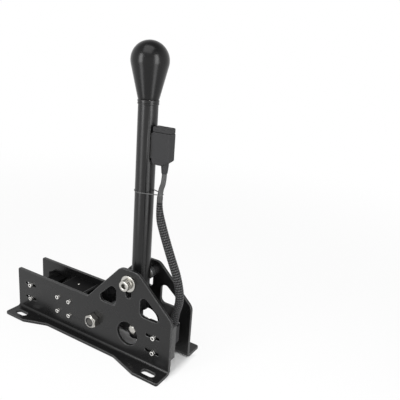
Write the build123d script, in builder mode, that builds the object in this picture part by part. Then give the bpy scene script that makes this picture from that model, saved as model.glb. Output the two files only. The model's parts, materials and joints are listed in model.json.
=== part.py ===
from build123d import *
import os
from math import asin, atan2, cos, hypot, pi, radians, sin, sqrt, tan

# Sequential shifter and handbrake lever for a driving rig.
# Millimetres, +Z up, +X towards the end where the cable comes out, -Y towards the near side plate.
# The origin lies under the middle of the foot flanges, on the surface that the base stands on.

# Side plates: two mirrored folded sheets that stand a channel apart
plate_thickness = 4.0
channel_width = 38.0
bend_radius = 3.0
rear_height = 61.0
apex_height = 115.5
shoulder_height = 70.0
lever_setback = 62.0
rear_margin = 24.0
kink_setback = 63.6
apex_rear_reach = 13.0
apex_front_reach = 12.5
rear_radius = 3.0
kink_radius = 4.0
apex_radius = 12.0
shoulder_radius = 12.0

# Foot flanges, wide at both ends and narrow between
ear_reach = 23.0
waist_reach = 11.0
rear_ear_length = 34.0
rear_taper_length = 32.0
front_ear_length = 35.0
front_taper_length = 38.5
ear_radius = 3.0
waist_radius = 10.0
foot_slot_width = 8.0
foot_slot_length = 18.0
foot_slot_reach = 12.5
rear_slot_inset = 19.5
front_slot_inset = 19.5

# Windows, access hole and pivot slot in each web
front_window_setback = 17.3
front_window_length = 38.5
front_window_height = 31.0
rear_window_setback = 18.0
rear_window_length = 34.0
rear_window_height = 33.0
window_sill = 62.5
window_radius = 6.0
access_diameter = 30.0
pivot_inset = 16.5
pivot_diameter = 8.0
pivot_slot_drop = 15.3
slot_play = 0.2

# Drive line: the height of the link bar, the push rod, the cross bolt and all small screws
drive_height = 32.5
cross_setback = 52.0
cross_diameter = 10.0
guide_setback = 104.0
rear_switch_setback = 165.0
rear_switch_lead = 5.1
front_switch_reach = 39.0
adjuster_length = 20.0
rear_adjuster_shift = 1.0
front_adjuster_shift = 2.0
screw_pitch = 20.0
screw_diameter = 3.0
screw_head_diameter = 5.5
screw_head_height = 3.0
screw_grip = 6.0
screw_play = 0.05

# Lever
tube_diameter = 22.0
tube_wall = 3.0
lever_reach = 203.5
tube_bottom = 59.5
knob_radius = 20.5
knob_height = 60.0
knob_base_radius = 11.5
knob_base_gap = 0.5
jam_ring_height = 5.0
jam_ring_radius = 11.7
stud_diameter = 10.0
stud_grip = 22.0
plug_length = 18.0

# Fits
running_play = 0.05
thrust_gap = 0.3
link_side_gap = 0.5
pin_play = 0.35

# Pivot hardware
hub_diameter = 14.0
hub_length = 24.0
spacer_diameter = 16.0
washer_diameter = 20.0
washer_thickness = 1.6
cap_head_diameter = 13.0
cap_head_height = 8.0
pivot_nut_flats = 13.0
pivot_nut_height = 8.0

# Cross bolt hardware
cross_nut_flats = 16.0
cross_nut_height = 9.0
cross_nut_turn = 12.0
cross_head_height = 6.4
cross_sleeve_diameter = 14.0
bolt_tail = 2.0

# Link bar, push rod and the fork pin
swing_angle = 6.0
link_thickness = 6.0
link_height = 18.0
link_nose = 9.0
link_land = 4.0
link_corner = 4.0
clevis_diameter = 6.0
clevis_flats = 10.0
clevis_head_height = 4.0
clevis_nut_height = 5.0
spot_face_depth = 0.8
fork_drop = 12.5
fork_rise = 7.5
fork_cone = 7.0
fork_crown = 2.0
fork_plug = 24.5
shank_diameter = 10.0
rod_diameter = 8.0
seat_diameter = 16.0
seat_thickness = 2.4
collar_width = 5.0
striker_diameter = 13.0
striker_length = 7.0

# Guide block and its springs
guide_length = 42.0
guide_height = 40.0
bushing_diameter = 12.0
spring_pocket = 11.0
pocket_play = 0.5
spring_diameter = 14.0
wire_diameter = 1.8
spring_turns = 6
end_turn_gap = 0.5

# Switches: a block beside the near plate carries each one
block_height = 44.0
mount_depth = 11.5
mount_length = 34.0
rear_mount_length = 20.0
bridge_thickness = 8.0
bridge_width = 25.0
switch_height = 19.8
switch_width = 6.4
switch_length = 10.2
plunger_diameter = 3.0
plunger_reach = 2.5
plunger_seat = 4.0
plunger_travel = 1.2
plunger_offset = 2.5
strike_gap = 0.4
switch_screw_pitch = 9.5
switch_screw_diameter = 2.2
terminal_length = 16.0
terminal_width = 6.0
terminal_height = 44.0
gland_top = 50.0
gland_height = 22.0
gland_grip = 10.0
gland_wall = 1.6
gland_play = 0.15

# Controller box on the lever
box_width = 23.2
box_depth = 12.0
box_rise = 141.5
box_height = 41.0
box_near_y = -8.0
box_corner = 2.0
box_shoulder = 4.0
outer_shoulder_width = 8.8
outer_shoulder_height = 6.2
cap_height = 5.6
cap_seam = 0.4
cap_inset = 0.3
pad_thickness = 1.0
pad_width = 7.0
neck_reach = 9.0
neck_shift = 3.4
neck_top_diameter = 8.5
neck_diameter = 6.6
socket_width = 9.0
socket_height = 3.3
socket_depth = 6.0

# Cable
lead_diameter = 5.6
sleeve_diameter = 10.0
tie_height = 1.2
tie_thickness = 0.8
tie_play = 0.4
tie_rise = 9.0
lead_offset = 21.4

# Places that follow from the sizes above
base_length = lever_setback + rear_switch_setback + rear_adjuster_shift + rear_margin
pivot_height = apex_height - pivot_inset
tube_top = pivot_height + lever_reach
lever_x = base_length / 2 - lever_setback
rear_x = -base_length / 2
front_x = base_length / 2
web_inner = channel_width / 2
web_outer = web_inner + plate_thickness
ear_y = web_outer + ear_reach
waist_y = web_outer + waist_reach
guide_x = lever_x - guide_setback
cross_x = lever_x - cross_setback
rear_screw_x = lever_x - rear_switch_setback
front_screw_x = lever_x + front_switch_reach
tube_radius = tube_diameter / 2
arm_length = pivot_height - drive_height
travel = arm_length * radians(swing_angle)
row_heights = (drive_height - screw_pitch / 2, drive_height + screw_pitch / 2)
guide_points = [(guide_x + i * screw_pitch / 2, z) for i in (-1, 1) for z in row_heights]
rear_points = [(rear_screw_x, z) for z in row_heights]
front_points = [(front_screw_x, z) for z in row_heights]

os.makedirs("parts", exist_ok=True)

# Side plate: an L section cut to the web outline and to the foot outline
with BuildPart() as side_plate_near:
    with BuildSketch(Plane.YZ.offset(rear_x)) as section:
        with BuildLine():
            Polyline(
                (-web_inner, 0),
                (-web_inner, apex_height),
                (-web_outer, apex_height),
                (-web_outer, plate_thickness),
                (-ear_y, plate_thickness),
                (-ear_y, 0),
                close=True,
            )
        make_face()
        fillet(section.vertices().sort_by_distance((-web_outer, plate_thickness))[0], bend_radius)
        fillet(section.vertices().sort_by_distance((-web_inner, 0))[0], bend_radius + plate_thickness)
    extrude(amount=base_length)
    web_corners = {
        "rear_top": (rear_x, rear_height),
        "kink": (lever_x - kink_setback, rear_height),
        "apex_rear": (lever_x - apex_rear_reach, apex_height),
        "apex_front": (lever_x + apex_front_reach, apex_height),
        "shoulder": (front_x, shoulder_height),
    }
    with BuildSketch(Plane.XZ.offset(web_inner)) as web_outline:
        with BuildLine():
            Polyline((rear_x, 0), *web_corners.values(), (front_x, 0), close=True)
        make_face()
        for corner, radius in (
            ("rear_top", rear_radius),
            ("kink", kink_radius),
            ("apex_rear", apex_radius),
            ("apex_front", apex_radius),
            ("shoulder", shoulder_radius),
        ):
            fillet(web_outline.vertices().sort_by_distance(web_corners[corner])[0], radius)
    extrude(amount=plate_thickness + ear_reach, mode=Mode.INTERSECT)
    waist_corners = [
        (rear_x + rear_ear_length + rear_taper_length, -waist_y),
        (front_x - front_ear_length - front_taper_length, -waist_y),
    ]
    ear_corners = [
        (rear_x, -ear_y),
        (rear_x + rear_ear_length, -ear_y),
        (front_x - front_ear_length, -ear_y),
        (front_x, -ear_y),
    ]
    with BuildSketch() as foot_outline:
        with BuildLine():
            Polyline(
                (rear_x, -web_inner),
                ear_corners[0],
                ear_corners[1],
                waist_corners[0],
                waist_corners[1],
                ear_corners[2],
                ear_corners[3],
                (front_x, -web_inner),
                close=True,
            )
        make_face()
        for corner in ear_corners:
            fillet(foot_outline.vertices().sort_by_distance(corner)[0], ear_radius)
        for corner in waist_corners:
            fillet(foot_outline.vertices().sort_by_distance(corner)[0], waist_radius)
    extrude(amount=apex_height, mode=Mode.INTERSECT)
    with BuildSketch() as foot_slots:
        with Locations(
            (rear_x + rear_slot_inset, -web_outer - foot_slot_reach),
            (front_x - front_slot_inset, -web_outer - foot_slot_reach),
        ):
            SlotOverall(foot_slot_length, foot_slot_width)
    extrude(amount=plate_thickness, mode=Mode.SUBTRACT)
    with BuildSketch(Plane.XZ.offset(web_inner)) as web_cuts:
        for side, setback, length, height in (
            (-1, rear_window_setback, rear_window_length, rear_window_height),
            (1, front_window_setback, front_window_length, front_window_height),
        ):
            foot = (lever_x + side * setback, window_sill)
            tip = (lever_x + side * setback, window_sill + height)
            toe = (lever_x + side * (setback + length), window_sill)
            with BuildLine():
                Polyline(foot, tip, toe, close=True)
            make_face()
            for corner in (foot, tip, toe):
                fillet(web_cuts.vertices().sort_by_distance(corner)[0], window_radius)
        with Locations((lever_x, drive_height)):
            Circle(access_diameter / 2)
        with Locations((lever_x, pivot_height - pivot_slot_drop / 2)):
            SlotCenterToCenter(pivot_slot_drop, pivot_diameter + 2 * slot_play, rotation=90)
        with Locations((cross_x, drive_height)):
            Circle(cross_diameter / 2 + slot_play)
        with Locations(*guide_points):
            Circle(screw_diameter / 2 + slot_play)
        with Locations(*[(rear_screw_x - rear_adjuster_shift, z) for z in row_heights]):
            SlotOverall(adjuster_length, screw_diameter + 2 * slot_play)
        with Locations(*[(front_screw_x - front_adjuster_shift, z) for z in row_heights]):
            SlotOverall(adjuster_length, screw_diameter + 2 * slot_play)
    extrude(amount=plate_thickness, mode=Mode.SUBTRACT)
side_plate_near.part.label = "side_plate_near"
export_step(side_plate_near.part, "parts/side_plate_near.step")

with BuildPart() as side_plate_far:
    mirror(side_plate_near.part, about=Plane.XZ)
side_plate_far.part.label = "side_plate_far"
export_step(side_plate_far.part, "parts/side_plate_far.step")

# Small socket cap screws: the guide block takes four from each side, each switch mount two from the near side
with BuildPart() as plate_screws:
    for stage, points in enumerate((guide_points, rear_points + front_points)):
        with BuildSketch(Plane.XZ.offset(web_outer)):
            with Locations(*points):
                Circle(screw_head_diameter / 2)
        extrude(amount=screw_head_height)
        with BuildSketch(Plane.XZ.offset(web_outer)):
            with Locations(*points):
                Circle(screw_diameter / 2)
        extrude(amount=-(plate_thickness + screw_grip))
        with BuildSketch(Plane.XZ.offset(web_outer + screw_head_height)):
            with Locations(*points):
                RegularPolygon(screw_diameter / 2, 6)
        extrude(amount=-screw_head_height / 2, mode=Mode.SUBTRACT)
        if stage == 0:
            mirror(about=Plane.XZ)
plate_screws.part.label = "plate_screws"
export_step(plate_screws.part, "parts/plate_screws.step")

# Pivot bolt with its head on the near side
pivot_head_y = web_outer + washer_thickness
pivot_tail_y = pivot_head_y + pivot_nut_height + bolt_tail
with BuildPart() as pivot_bolt:
    with BuildSketch(Plane.XZ.offset(pivot_head_y)):
        with Locations((lever_x, pivot_height)):
            Circle(cap_head_diameter / 2)
    extrude(amount=cap_head_height)
    chamfer(pivot_bolt.edges().filter_by(GeomType.CIRCLE).sort_by(Axis.Y)[0], 0.8)
    with BuildSketch(Plane.XZ.offset(pivot_head_y)):
        with Locations((lever_x, pivot_height)):
            Circle(pivot_diameter / 2)
    extrude(amount=-(pivot_head_y + pivot_tail_y))
    chamfer(pivot_bolt.edges().filter_by(GeomType.CIRCLE).sort_by(Axis.Y)[-1], 0.8)
    with BuildSketch(Plane.XZ.offset(pivot_head_y + cap_head_height)):
        with Locations((lever_x, pivot_height)):
            RegularPolygon(pivot_diameter * 0.375, 6, major_radius=False)
    extrude(amount=-cap_head_height / 2, mode=Mode.SUBTRACT)
pivot_bolt.part.label = "pivot_bolt"
export_step(pivot_bolt.part, "parts/pivot_bolt.step")

with BuildPart() as pivot_washers:
    with BuildSketch(Plane.XZ.offset(web_outer)):
        with Locations((lever_x, pivot_height)):
            Circle(washer_diameter / 2)
            Circle(pivot_diameter / 2 + slot_play, mode=Mode.SUBTRACT)
    extrude(amount=washer_thickness)
    mirror(about=Plane.XZ)
pivot_washers.part.label = "pivot_washers"
export_step(pivot_washers.part, "parts/pivot_washers.step")

# Lock nut on the far side, with the rounded collar that holds its nylon ring
with BuildPart() as pivot_nut:
    with BuildSketch(Plane.XZ.offset(-pivot_head_y)):
        with Locations((lever_x, pivot_height)):
            RegularPolygon(pivot_nut_flats / 2, 6, major_radius=False)
    extrude(amount=-pivot_nut_height * 0.7)
    with BuildSketch(Plane.XZ.offset(-pivot_head_y)):
        with Locations((lever_x, pivot_height)):
            Circle(pivot_nut_flats / 2 - 0.4)
    extrude(amount=-pivot_nut_height)
    fillet(pivot_nut.edges().filter_by(GeomType.CIRCLE).sort_by(Axis.Y)[-1], 1.0)
    with BuildSketch(Plane.XZ.offset(-pivot_head_y)):
        with Locations((lever_x, pivot_height)):
            Circle(pivot_diameter / 2 + screw_play)
    extrude(amount=-pivot_nut_height, mode=Mode.SUBTRACT)
pivot_nut.part.label = "pivot_nut"
export_step(pivot_nut.part, "parts/pivot_nut.step")

# Spacers fill the channel between the hub and each web
with BuildPart() as pivot_spacers:
    with BuildSketch(Plane.XZ.offset(hub_length / 2 + thrust_gap)):
        with Locations((lever_x, pivot_height)):
            Circle(spacer_diameter / 2)
            Circle(pivot_diameter / 2 + slot_play, mode=Mode.SUBTRACT)
    extrude(amount=web_inner - hub_length / 2 - thrust_gap)
    mirror(about=Plane.XZ)
pivot_spacers.part.label = "pivot_spacers"
export_step(pivot_spacers.part, "parts/pivot_spacers.step")

# Cross bolt: hexagon head on the far side, nut on the near side
cross_tail_y = web_outer + cross_nut_height + bolt_tail
with BuildPart() as cross_bolt:
    with BuildSketch(Plane.XZ.offset(-web_outer)):
        with Locations((cross_x, drive_height)):
            RegularPolygon(cross_nut_flats / 2, 6, major_radius=False)
    extrude(amount=-cross_head_height)
    with BuildSketch(Plane.XZ.offset(-web_outer)):
        with Locations((cross_x, drive_height)):
            Circle(cross_diameter / 2)
    extrude(amount=web_outer + cross_tail_y)
    chamfer(cross_bolt.edges().filter_by(GeomType.CIRCLE).sort_by(Axis.Y)[0], 1.0)
cross_bolt.part.label = "cross_bolt"
export_step(cross_bolt.part, "parts/cross_bolt.step")

with BuildPart() as cross_nut:
    with BuildSketch(Plane.XZ.offset(web_outer)):
        with Locations((cross_x, drive_height)):
            RegularPolygon(cross_nut_flats / 2, 6, major_radius=False, rotation=cross_nut_turn)
            Circle(cross_diameter / 2 + screw_play, mode=Mode.SUBTRACT)
    extrude(amount=cross_nut_height)
    # The corners are turned down to a cone, and a round collar above it holds the nylon ring
    with BuildSketch(Plane.XY.offset(drive_height)):
        with BuildLine():
            corner_radius = cross_nut_flats / sqrt(3)
            collar_radius = cross_nut_flats / 2 - 0.6
            hexagon_y = -web_outer - cross_nut_height * 0.7
            Polyline(
                (cross_x, -web_outer),
                (cross_x + corner_radius, -web_outer),
                (cross_x + corner_radius, hexagon_y + 0.7),
                (cross_x + cross_nut_flats / 2 - 0.2, hexagon_y),
                (cross_x + collar_radius, hexagon_y),
                (cross_x + collar_radius, -web_outer - cross_nut_height + 1.0),
                (cross_x + collar_radius - 1.0, -web_outer - cross_nut_height),
                (cross_x, -web_outer - cross_nut_height),
                close=True,
            )
        make_face()
    revolve(axis=Axis((cross_x, 0, drive_height), (0, 1, 0)), mode=Mode.INTERSECT)
cross_nut.part.label = "cross_nut"
export_step(cross_nut.part, "parts/cross_nut.step")

with BuildPart() as cross_sleeves:
    with BuildSketch(Plane.XZ.offset(link_thickness / 2 + link_side_gap)):
        with Locations((cross_x, drive_height)):
            Circle(cross_sleeve_diameter / 2)
            Circle(cross_diameter / 2 + slot_play, mode=Mode.SUBTRACT)
    extrude(amount=web_inner - link_thickness / 2 - link_side_gap)
    mirror(about=Plane.XZ)
cross_sleeves.part.label = "cross_sleeves"
export_step(cross_sleeves.part, "parts/cross_sleeves.step")

# Lever tube
with BuildPart() as lever_tube:
    with BuildSketch(Plane.XY.offset(tube_bottom)):
        with Locations((lever_x, 0)):
            Circle(tube_radius)
            Circle(tube_radius - tube_wall, mode=Mode.SUBTRACT)
    extrude(amount=tube_top - tube_bottom)
    with BuildSketch(Plane.XZ):
        with Locations((lever_x, pivot_height)):
            Circle(hub_diameter / 2)
    extrude(amount=tube_diameter, both=True, mode=Mode.SUBTRACT)
lever_tube.part.label = "lever_tube"
export_step(lever_tube.part, "parts/lever_tube.step")

# Fork for the link bar: a plug pressed into the tube, a thin shank, and a head as wide as the tube
fork_width = link_thickness + 2 * link_side_gap
fork_bottom = drive_height - fork_drop
fork_shoulder = drive_height + fork_rise
fork_top = drive_height + link_height / 2 + fork_crown
spot_y = tube_radius - spot_face_depth
with BuildPart() as lever_fork:
    with BuildSketch(Plane.XZ):
        with BuildLine():
            Polyline(
                (lever_x, fork_bottom),
                (lever_x + tube_radius, fork_bottom),
                (lever_x + tube_radius, fork_shoulder),
                (lever_x + shank_diameter / 2, fork_shoulder + fork_cone),
                (lever_x + shank_diameter / 2, tube_bottom),
                (lever_x + tube_radius - tube_wall, tube_bottom),
                (lever_x + tube_radius - tube_wall, tube_bottom + fork_plug),
                (lever_x, tube_bottom + fork_plug),
                close=True,
            )
        make_face()
    revolve(axis=Axis((lever_x, 0, 0), (0, 0, 1)))
    with BuildSketch(Plane.XZ):
        with Locations((lever_x, drive_height)):
            Circle(clevis_diameter / 2 + screw_play)
    extrude(amount=tube_diameter, both=True, mode=Mode.SUBTRACT)
    with BuildSketch(Plane.YZ.offset(lever_x)):
        with Locations((0, (fork_bottom + fork_top) / 2)):
            Rectangle(fork_width, fork_top - fork_bottom)
    extrude(amount=tube_diameter, both=True, mode=Mode.SUBTRACT)
    for side in (-1, 1):
        with BuildSketch(Plane.XZ.offset(side * spot_y)):
            with Locations((lever_x, drive_height)):
                Circle(clevis_flats * 0.65)
        extrude(amount=side * tube_radius, mode=Mode.SUBTRACT)
lever_fork.part.label = "lever_fork"
export_step(lever_fork.part, "parts/lever_fork.step")

with BuildPart() as pivot_hub:
    with BuildSketch(Plane.XZ):
        with Locations((lever_x, pivot_height)):
            Circle(hub_diameter / 2)
            Circle(pivot_diameter / 2 + running_play, mode=Mode.SUBTRACT)
    extrude(amount=hub_length / 2, both=True)
pivot_hub.part.label = "pivot_hub"
export_step(pivot_hub.part, "parts/pivot_hub.step")

with BuildPart() as clevis_bolt:
    with BuildSketch(Plane.XZ.offset(spot_y)):
        with Locations((lever_x, drive_height)):
            RegularPolygon(clevis_flats / 2, 6, major_radius=False)
    extrude(amount=clevis_head_height)
    with BuildSketch(Plane.XZ.offset(spot_y)):
        with Locations((lever_x, drive_height)):
            Circle(clevis_diameter / 2)
    extrude(amount=-(2 * spot_y + clevis_nut_height + bolt_tail / 2))
clevis_bolt.part.label = "clevis_bolt"
export_step(clevis_bolt.part, "parts/clevis_bolt.step")

with BuildPart() as clevis_nut:
    with BuildSketch(Plane.XZ.offset(-spot_y)):
        with Locations((lever_x, drive_height)):
            RegularPolygon(clevis_flats / 2, 6, major_radius=False)
            Circle(clevis_diameter / 2 + screw_play, mode=Mode.SUBTRACT)
    extrude(amount=-clevis_nut_height)
clevis_nut.part.label = "clevis_nut"
export_step(clevis_nut.part, "parts/clevis_nut.step")

# Jam ring, stud and knob on top of the tube
knob_base = tube_top + jam_ring_height + knob_base_gap
knob_top = knob_base + knob_height
knob_centre = knob_top - knob_radius
with BuildPart() as jam_ring:
    with BuildSketch(Plane.XY.offset(tube_top)):
        with Locations((lever_x, 0)):
            Circle(jam_ring_radius)
            Circle(stud_diameter / 2 + screw_play, mode=Mode.SUBTRACT)
    extrude(amount=jam_ring_height)
    chamfer(jam_ring.edges().filter_by(GeomType.CIRCLE).group_by(SortBy.RADIUS)[-1], 0.5)
jam_ring.part.label = "jam_ring"
export_step(jam_ring.part, "parts/jam_ring.step")

with BuildPart() as knob_stud:
    with BuildSketch(Plane.XY.offset(tube_top - plug_length)):
        with Locations((lever_x, 0)):
            Circle(tube_radius - tube_wall)
    extrude(amount=plug_length)
    with BuildSketch(Plane.XY.offset(tube_top)):
        with Locations((lever_x, 0)):
            Circle(stud_diameter / 2)
    extrude(amount=jam_ring_height + knob_base_gap + stud_grip)
knob_stud.part.label = "knob_stud"
export_step(knob_stud.part, "parts/knob_stud.step")

# The taper of the knob runs straight and meets the ball without an edge
to_centre = hypot(knob_base_radius, knob_centre - knob_base)
taper_length = sqrt(to_centre**2 - knob_radius**2)
taper_angle = atan2(knob_centre - knob_base, -knob_base_radius) - asin(knob_radius / to_centre)
taper_end = (
    lever_x + knob_base_radius + taper_length * cos(taper_angle),
    knob_base + taper_length * sin(taper_angle),
)
with BuildPart() as knob:
    with BuildSketch(Plane.XZ):
        with BuildLine():
            l1 = Line((lever_x, knob_base), (lever_x + knob_base_radius, knob_base))
            l2 = Line(l1 @ 1, taper_end)
            l3 = TangentArc(l2 @ 1, (lever_x, knob_top), tangent=l2 % 1)
            Line(l3 @ 1, l1 @ 0)
        make_face()
    revolve(axis=Axis((lever_x, 0, 0), (0, 0, 1)))
    fillet(knob.edges().group_by(Axis.Z)[0], 1.0)
    with BuildSketch(Plane.XY.offset(knob_base)):
        with Locations((lever_x, 0)):
            Circle(stud_diameter / 2 + screw_play)
    extrude(amount=stud_grip, mode=Mode.SUBTRACT)
knob.part.label = "knob"
export_step(knob.part, "parts/knob.step")

# Link bar: pinned in the fork, slotted round the cross bolt
cross_slot = 2 * travel + cross_diameter + 2 * (pin_play + 0.25)
link_tail_x = cross_x - cross_slot / 2 - link_land
link_nose_x = lever_x + link_nose
pin_lift = arm_length * (1 - cos(radians(swing_angle)))
with BuildPart() as link_bar:
    with BuildSketch(Plane.XZ) as bar_outline:
        with Locations(((link_tail_x + link_nose_x) / 2, drive_height)):
            Rectangle(link_nose_x - link_tail_x, link_height)
        fillet(bar_outline.vertices(), link_corner)
        with Locations((cross_x, drive_height)):
            SlotOverall(cross_slot, cross_diameter + 2 * pin_play, mode=Mode.SUBTRACT)
        with Locations((lever_x, drive_height)):
            SlotCenterToCenter(
                2 * pin_lift + 1.0,
                clevis_diameter + 2 * pin_play,
                rotation=90,
                mode=Mode.SUBTRACT,
            )
    extrude(amount=link_thickness / 2, both=True)
link_bar.part.label = "link_bar"
export_step(link_bar.part, "parts/link_bar.step")

# Push rod with the front spring seat turned on it, running along -X from the link bar
seat_x = link_tail_x - seat_thickness
guide_front_x = guide_x + guide_length / 2
guide_rear_x = guide_x - guide_length / 2
spring_length = seat_x - (guide_front_x - spring_pocket)
collar_x = guide_rear_x + spring_pocket - spring_length
rear_switch_x = rear_screw_x + rear_switch_lead
striker_x = rear_switch_x + plunger_reach + strike_gap + travel
with BuildPart() as push_rod:
    with BuildSketch(Plane.YZ.offset(link_tail_x)):
        with Locations((0, drive_height)):
            Circle(seat_diameter / 2)
    extrude(amount=-seat_thickness)
    with BuildSketch(Plane.YZ.offset(seat_x)):
        with Locations((0, drive_height)):
            Circle(rod_diameter / 2)
    extrude(amount=-(seat_x - striker_x - striker_length * 0.3))
push_rod.part.label = "push_rod"
export_step(push_rod.part, "parts/push_rod.step")

with BuildPart() as rear_collar:
    with BuildSketch(Plane.YZ.offset(collar_x)):
        with Locations((0, drive_height)):
            Circle(seat_diameter / 2)
            Circle(rod_diameter / 2 + screw_play, mode=Mode.SUBTRACT)
    extrude(amount=-collar_width)
    chamfer(rear_collar.edges().filter_by(GeomType.CIRCLE).group_by(SortBy.RADIUS)[-1], 0.5)
    with BuildSketch(Plane.XY.offset(drive_height + seat_diameter / 2)):
        with Locations((collar_x - collar_width / 2, 0)):
            Circle(screw_diameter / 2)
    extrude(amount=-(seat_diameter - rod_diameter) / 2, mode=Mode.SUBTRACT)
rear_collar.part.label = "rear_collar"
export_step(rear_collar.part, "parts/rear_collar.step")

# Domed striker screwed on the end of the rod
with BuildPart() as striker:
    with BuildSketch(Plane.YZ.offset(striker_x + striker_length)):
        with Locations((0, drive_height)):
            Circle(striker_diameter / 2)
    extrude(amount=-striker_length)
    fillet(striker.edges().filter_by(GeomType.CIRCLE).sort_by(Axis.X)[0], 1.5)
    with BuildSketch(Plane.YZ.offset(striker_x + striker_length)):
        with Locations((0, drive_height)):
            Circle(rod_diameter / 2 + screw_play)
    extrude(amount=-striker_length * 0.7, mode=Mode.SUBTRACT)
striker.part.label = "striker"
export_step(striker.part, "parts/striker.step")

# Guide block between the webs, with a spring pocket in each end
with BuildPart() as guide_block:
    with Locations((guide_x, 0, drive_height)):
        Box(guide_length, channel_width, guide_height)
    chamfer(guide_block.edges().filter_by(Axis.Y), 1.5)
    for face_x, side in ((guide_front_x, 1), (guide_rear_x, -1)):
        with BuildSketch(Plane.YZ.offset(face_x)):
            with Locations((0, drive_height)):
                Circle(spring_diameter / 2 + pocket_play)
        extrude(amount=-side * spring_pocket, mode=Mode.SUBTRACT)
    with BuildSketch(Plane.YZ.offset(guide_x)):
        with Locations((0, drive_height)):
            Circle(bushing_diameter / 2)
    extrude(amount=guide_length, both=True, mode=Mode.SUBTRACT)
    with BuildSketch(Plane.XZ.offset(web_inner)):
        with Locations(*guide_points):
            Circle(screw_diameter / 2 + screw_play)
    extrude(amount=-screw_grip - 1.0, mode=Mode.SUBTRACT)
    with BuildSketch(Plane.XZ.offset(-web_inner)):
        with Locations(*guide_points):
            Circle(screw_diameter / 2 + screw_play)
    extrude(amount=screw_grip + 1.0, mode=Mode.SUBTRACT)
guide_block.part.label = "guide_block"
export_step(guide_block.part, "parts/guide_block.step")

bushing_length = guide_length - 2 * spring_pocket
with BuildPart() as rod_bushing:
    with BuildSketch(Plane.YZ.offset(guide_x)):
        with Locations((0, drive_height)):
            Circle(bushing_diameter / 2)
            Circle(rod_diameter / 2 + running_play, mode=Mode.SUBTRACT)
    extrude(amount=bushing_length / 2, both=True)
rod_bushing.part.label = "rod_bushing"
export_step(rod_bushing.part, "parts/rod_bushing.step")


# Compression springs: one wire each, with closer turns at both ends
def spring_nodes(start: float, length: float) -> list[tuple[Vector, Vector]]:
    """Points and directions of the wire's centre line, one for each quarter turn."""
    mean_radius = (spring_diameter - wire_diameter) / 2
    end_pitch = wire_diameter + end_turn_gap
    middle_pitch = (length - wire_diameter - 2 * end_pitch) / (spring_turns - 2)
    advance = [0.0]
    for quarter in range(4 * spring_turns):
        in_end_turn = quarter < 4 or quarter >= 4 * (spring_turns - 1)
        advance.append(advance[-1] + (end_pitch if in_end_turn else middle_pitch) / 4)
    nodes = []
    for quarter, x in enumerate(advance):
        angle = quarter * pi / 2
        before = advance[max(quarter - 1, 0)]
        after = advance[min(quarter + 1, len(advance) - 1)]
        steps = min(quarter + 1, len(advance) - 1) - max(quarter - 1, 0)
        rise = (after - before) / steps / (pi / 2)
        point = Vector(
            start + wire_diameter / 2 + x,
            mean_radius * cos(angle),
            drive_height + mean_radius * sin(angle),
        )
        heading = Vector(rise, -mean_radius * sin(angle), mean_radius * cos(angle)).normalized()
        nodes.append((point, heading))
    return nodes


def biarc_joint(p0: Vector, t0: Vector, p1: Vector, t1: Vector) -> tuple[Vector, Vector]:
    """Meeting point and direction of the two arcs that join p0 along t0 to p1 along t1."""
    chord = p1 - p0
    both = t0 + t1
    bend = 2 * (1 - t0.dot(t1))
    reach = (sqrt(chord.dot(both) ** 2 + bend * chord.dot(chord)) - chord.dot(both)) / bend
    first = p0 + t0 * reach
    second = p1 - t1 * reach
    return (first + second) * 0.5, (second - first).normalized()


def least_gap(nodes: list[tuple[Vector, Vector]]) -> float:
    """Smallest clear distance between turns, on points of the wire half a turn or more apart."""
    points = [point for point, _ in nodes]
    apart = [
        (a - b).length
        for i, a in enumerate(points)
        for b in points[i + 3 :]
    ]
    return min(apart) - wire_diameter


for name, start in (("front_spring", guide_front_x - spring_pocket), ("rear_spring", collar_x)):
    nodes = spring_nodes(start, spring_length)
    with BuildPart() as spring:
        with BuildLine() as wire:
            for (p0, t0), (p1, t1) in zip(nodes, nodes[1:]):
                joint, heading = biarc_joint(p0, t0, p1, t1)
                TangentArc(p0, joint, tangent=t0)
                TangentArc(joint, p1, tangent=heading)
        with BuildSketch(Plane(origin=nodes[0][0], z_dir=nodes[0][1])):
            Circle(wire_diameter / 2)
        sweep()
    spring.part.label = name
    export_step(spring.part, f"parts/{name}.step")
    print(f"{name}: {spring_turns} turns, length {spring_length:.2f}, least gap {least_gap(nodes):.2f}")

# Switch mounts: blocks on the inner face of the near web, moved along the horizontal slots
mount_y = -web_inner + mount_depth
switch_y = mount_y + switch_width / 2
plunger_z = drive_height + plunger_offset
strike_x = lever_x + sqrt(tube_radius**2 - (abs(switch_y) - plunger_diameter / 2) ** 2) * cos(
    radians(swing_angle)
) + (pivot_height - plunger_z + plunger_diameter / 2) * sin(radians(swing_angle))
front_switch_x = strike_x + strike_gap + plunger_reach
front_mount_x = front_switch_x + mount_length / 2 + 1.5

with BuildPart() as front_switch_mount:
    with Locations((front_mount_x, -web_inner + mount_depth / 2, drive_height)):
        Box(mount_length, mount_depth, block_height)
    chamfer(front_switch_mount.edges().filter_by(Axis.Y), 1.0)
    with BuildSketch(Plane.XZ.offset(web_inner)):
        with Locations(*front_points):
            Circle(screw_diameter / 2 + screw_play)
    extrude(amount=-screw_grip - 1.0, mode=Mode.SUBTRACT)
front_switch_mount.part.label = "front_switch_mount"
export_step(front_switch_mount.part, "parts/front_switch_mount.step")

# The rear mount's top reaches over the switch
bridge_z = drive_height + guide_height / 2 - bridge_thickness / 2
with BuildPart() as rear_switch_mount:
    with Locations((rear_screw_x, -web_inner + mount_depth / 2, drive_height)):
        Box(rear_mount_length, mount_depth, guide_height)
    with Locations((rear_screw_x, -web_inner + bridge_width / 2, bridge_z)):
        Box(rear_mount_length, bridge_width, bridge_thickness)
    chamfer(rear_switch_mount.edges().filter_by(Axis.Y), 1.0)
    with BuildSketch(Plane.XZ.offset(web_inner)):
        with Locations(*rear_points):
            Circle(screw_diameter / 2 + screw_play)
    extrude(amount=-screw_grip - 1.0, mode=Mode.SUBTRACT)
rear_switch_mount.part.label = "rear_switch_mount"
export_step(rear_switch_mount.part, "parts/rear_switch_mount.step")

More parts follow.
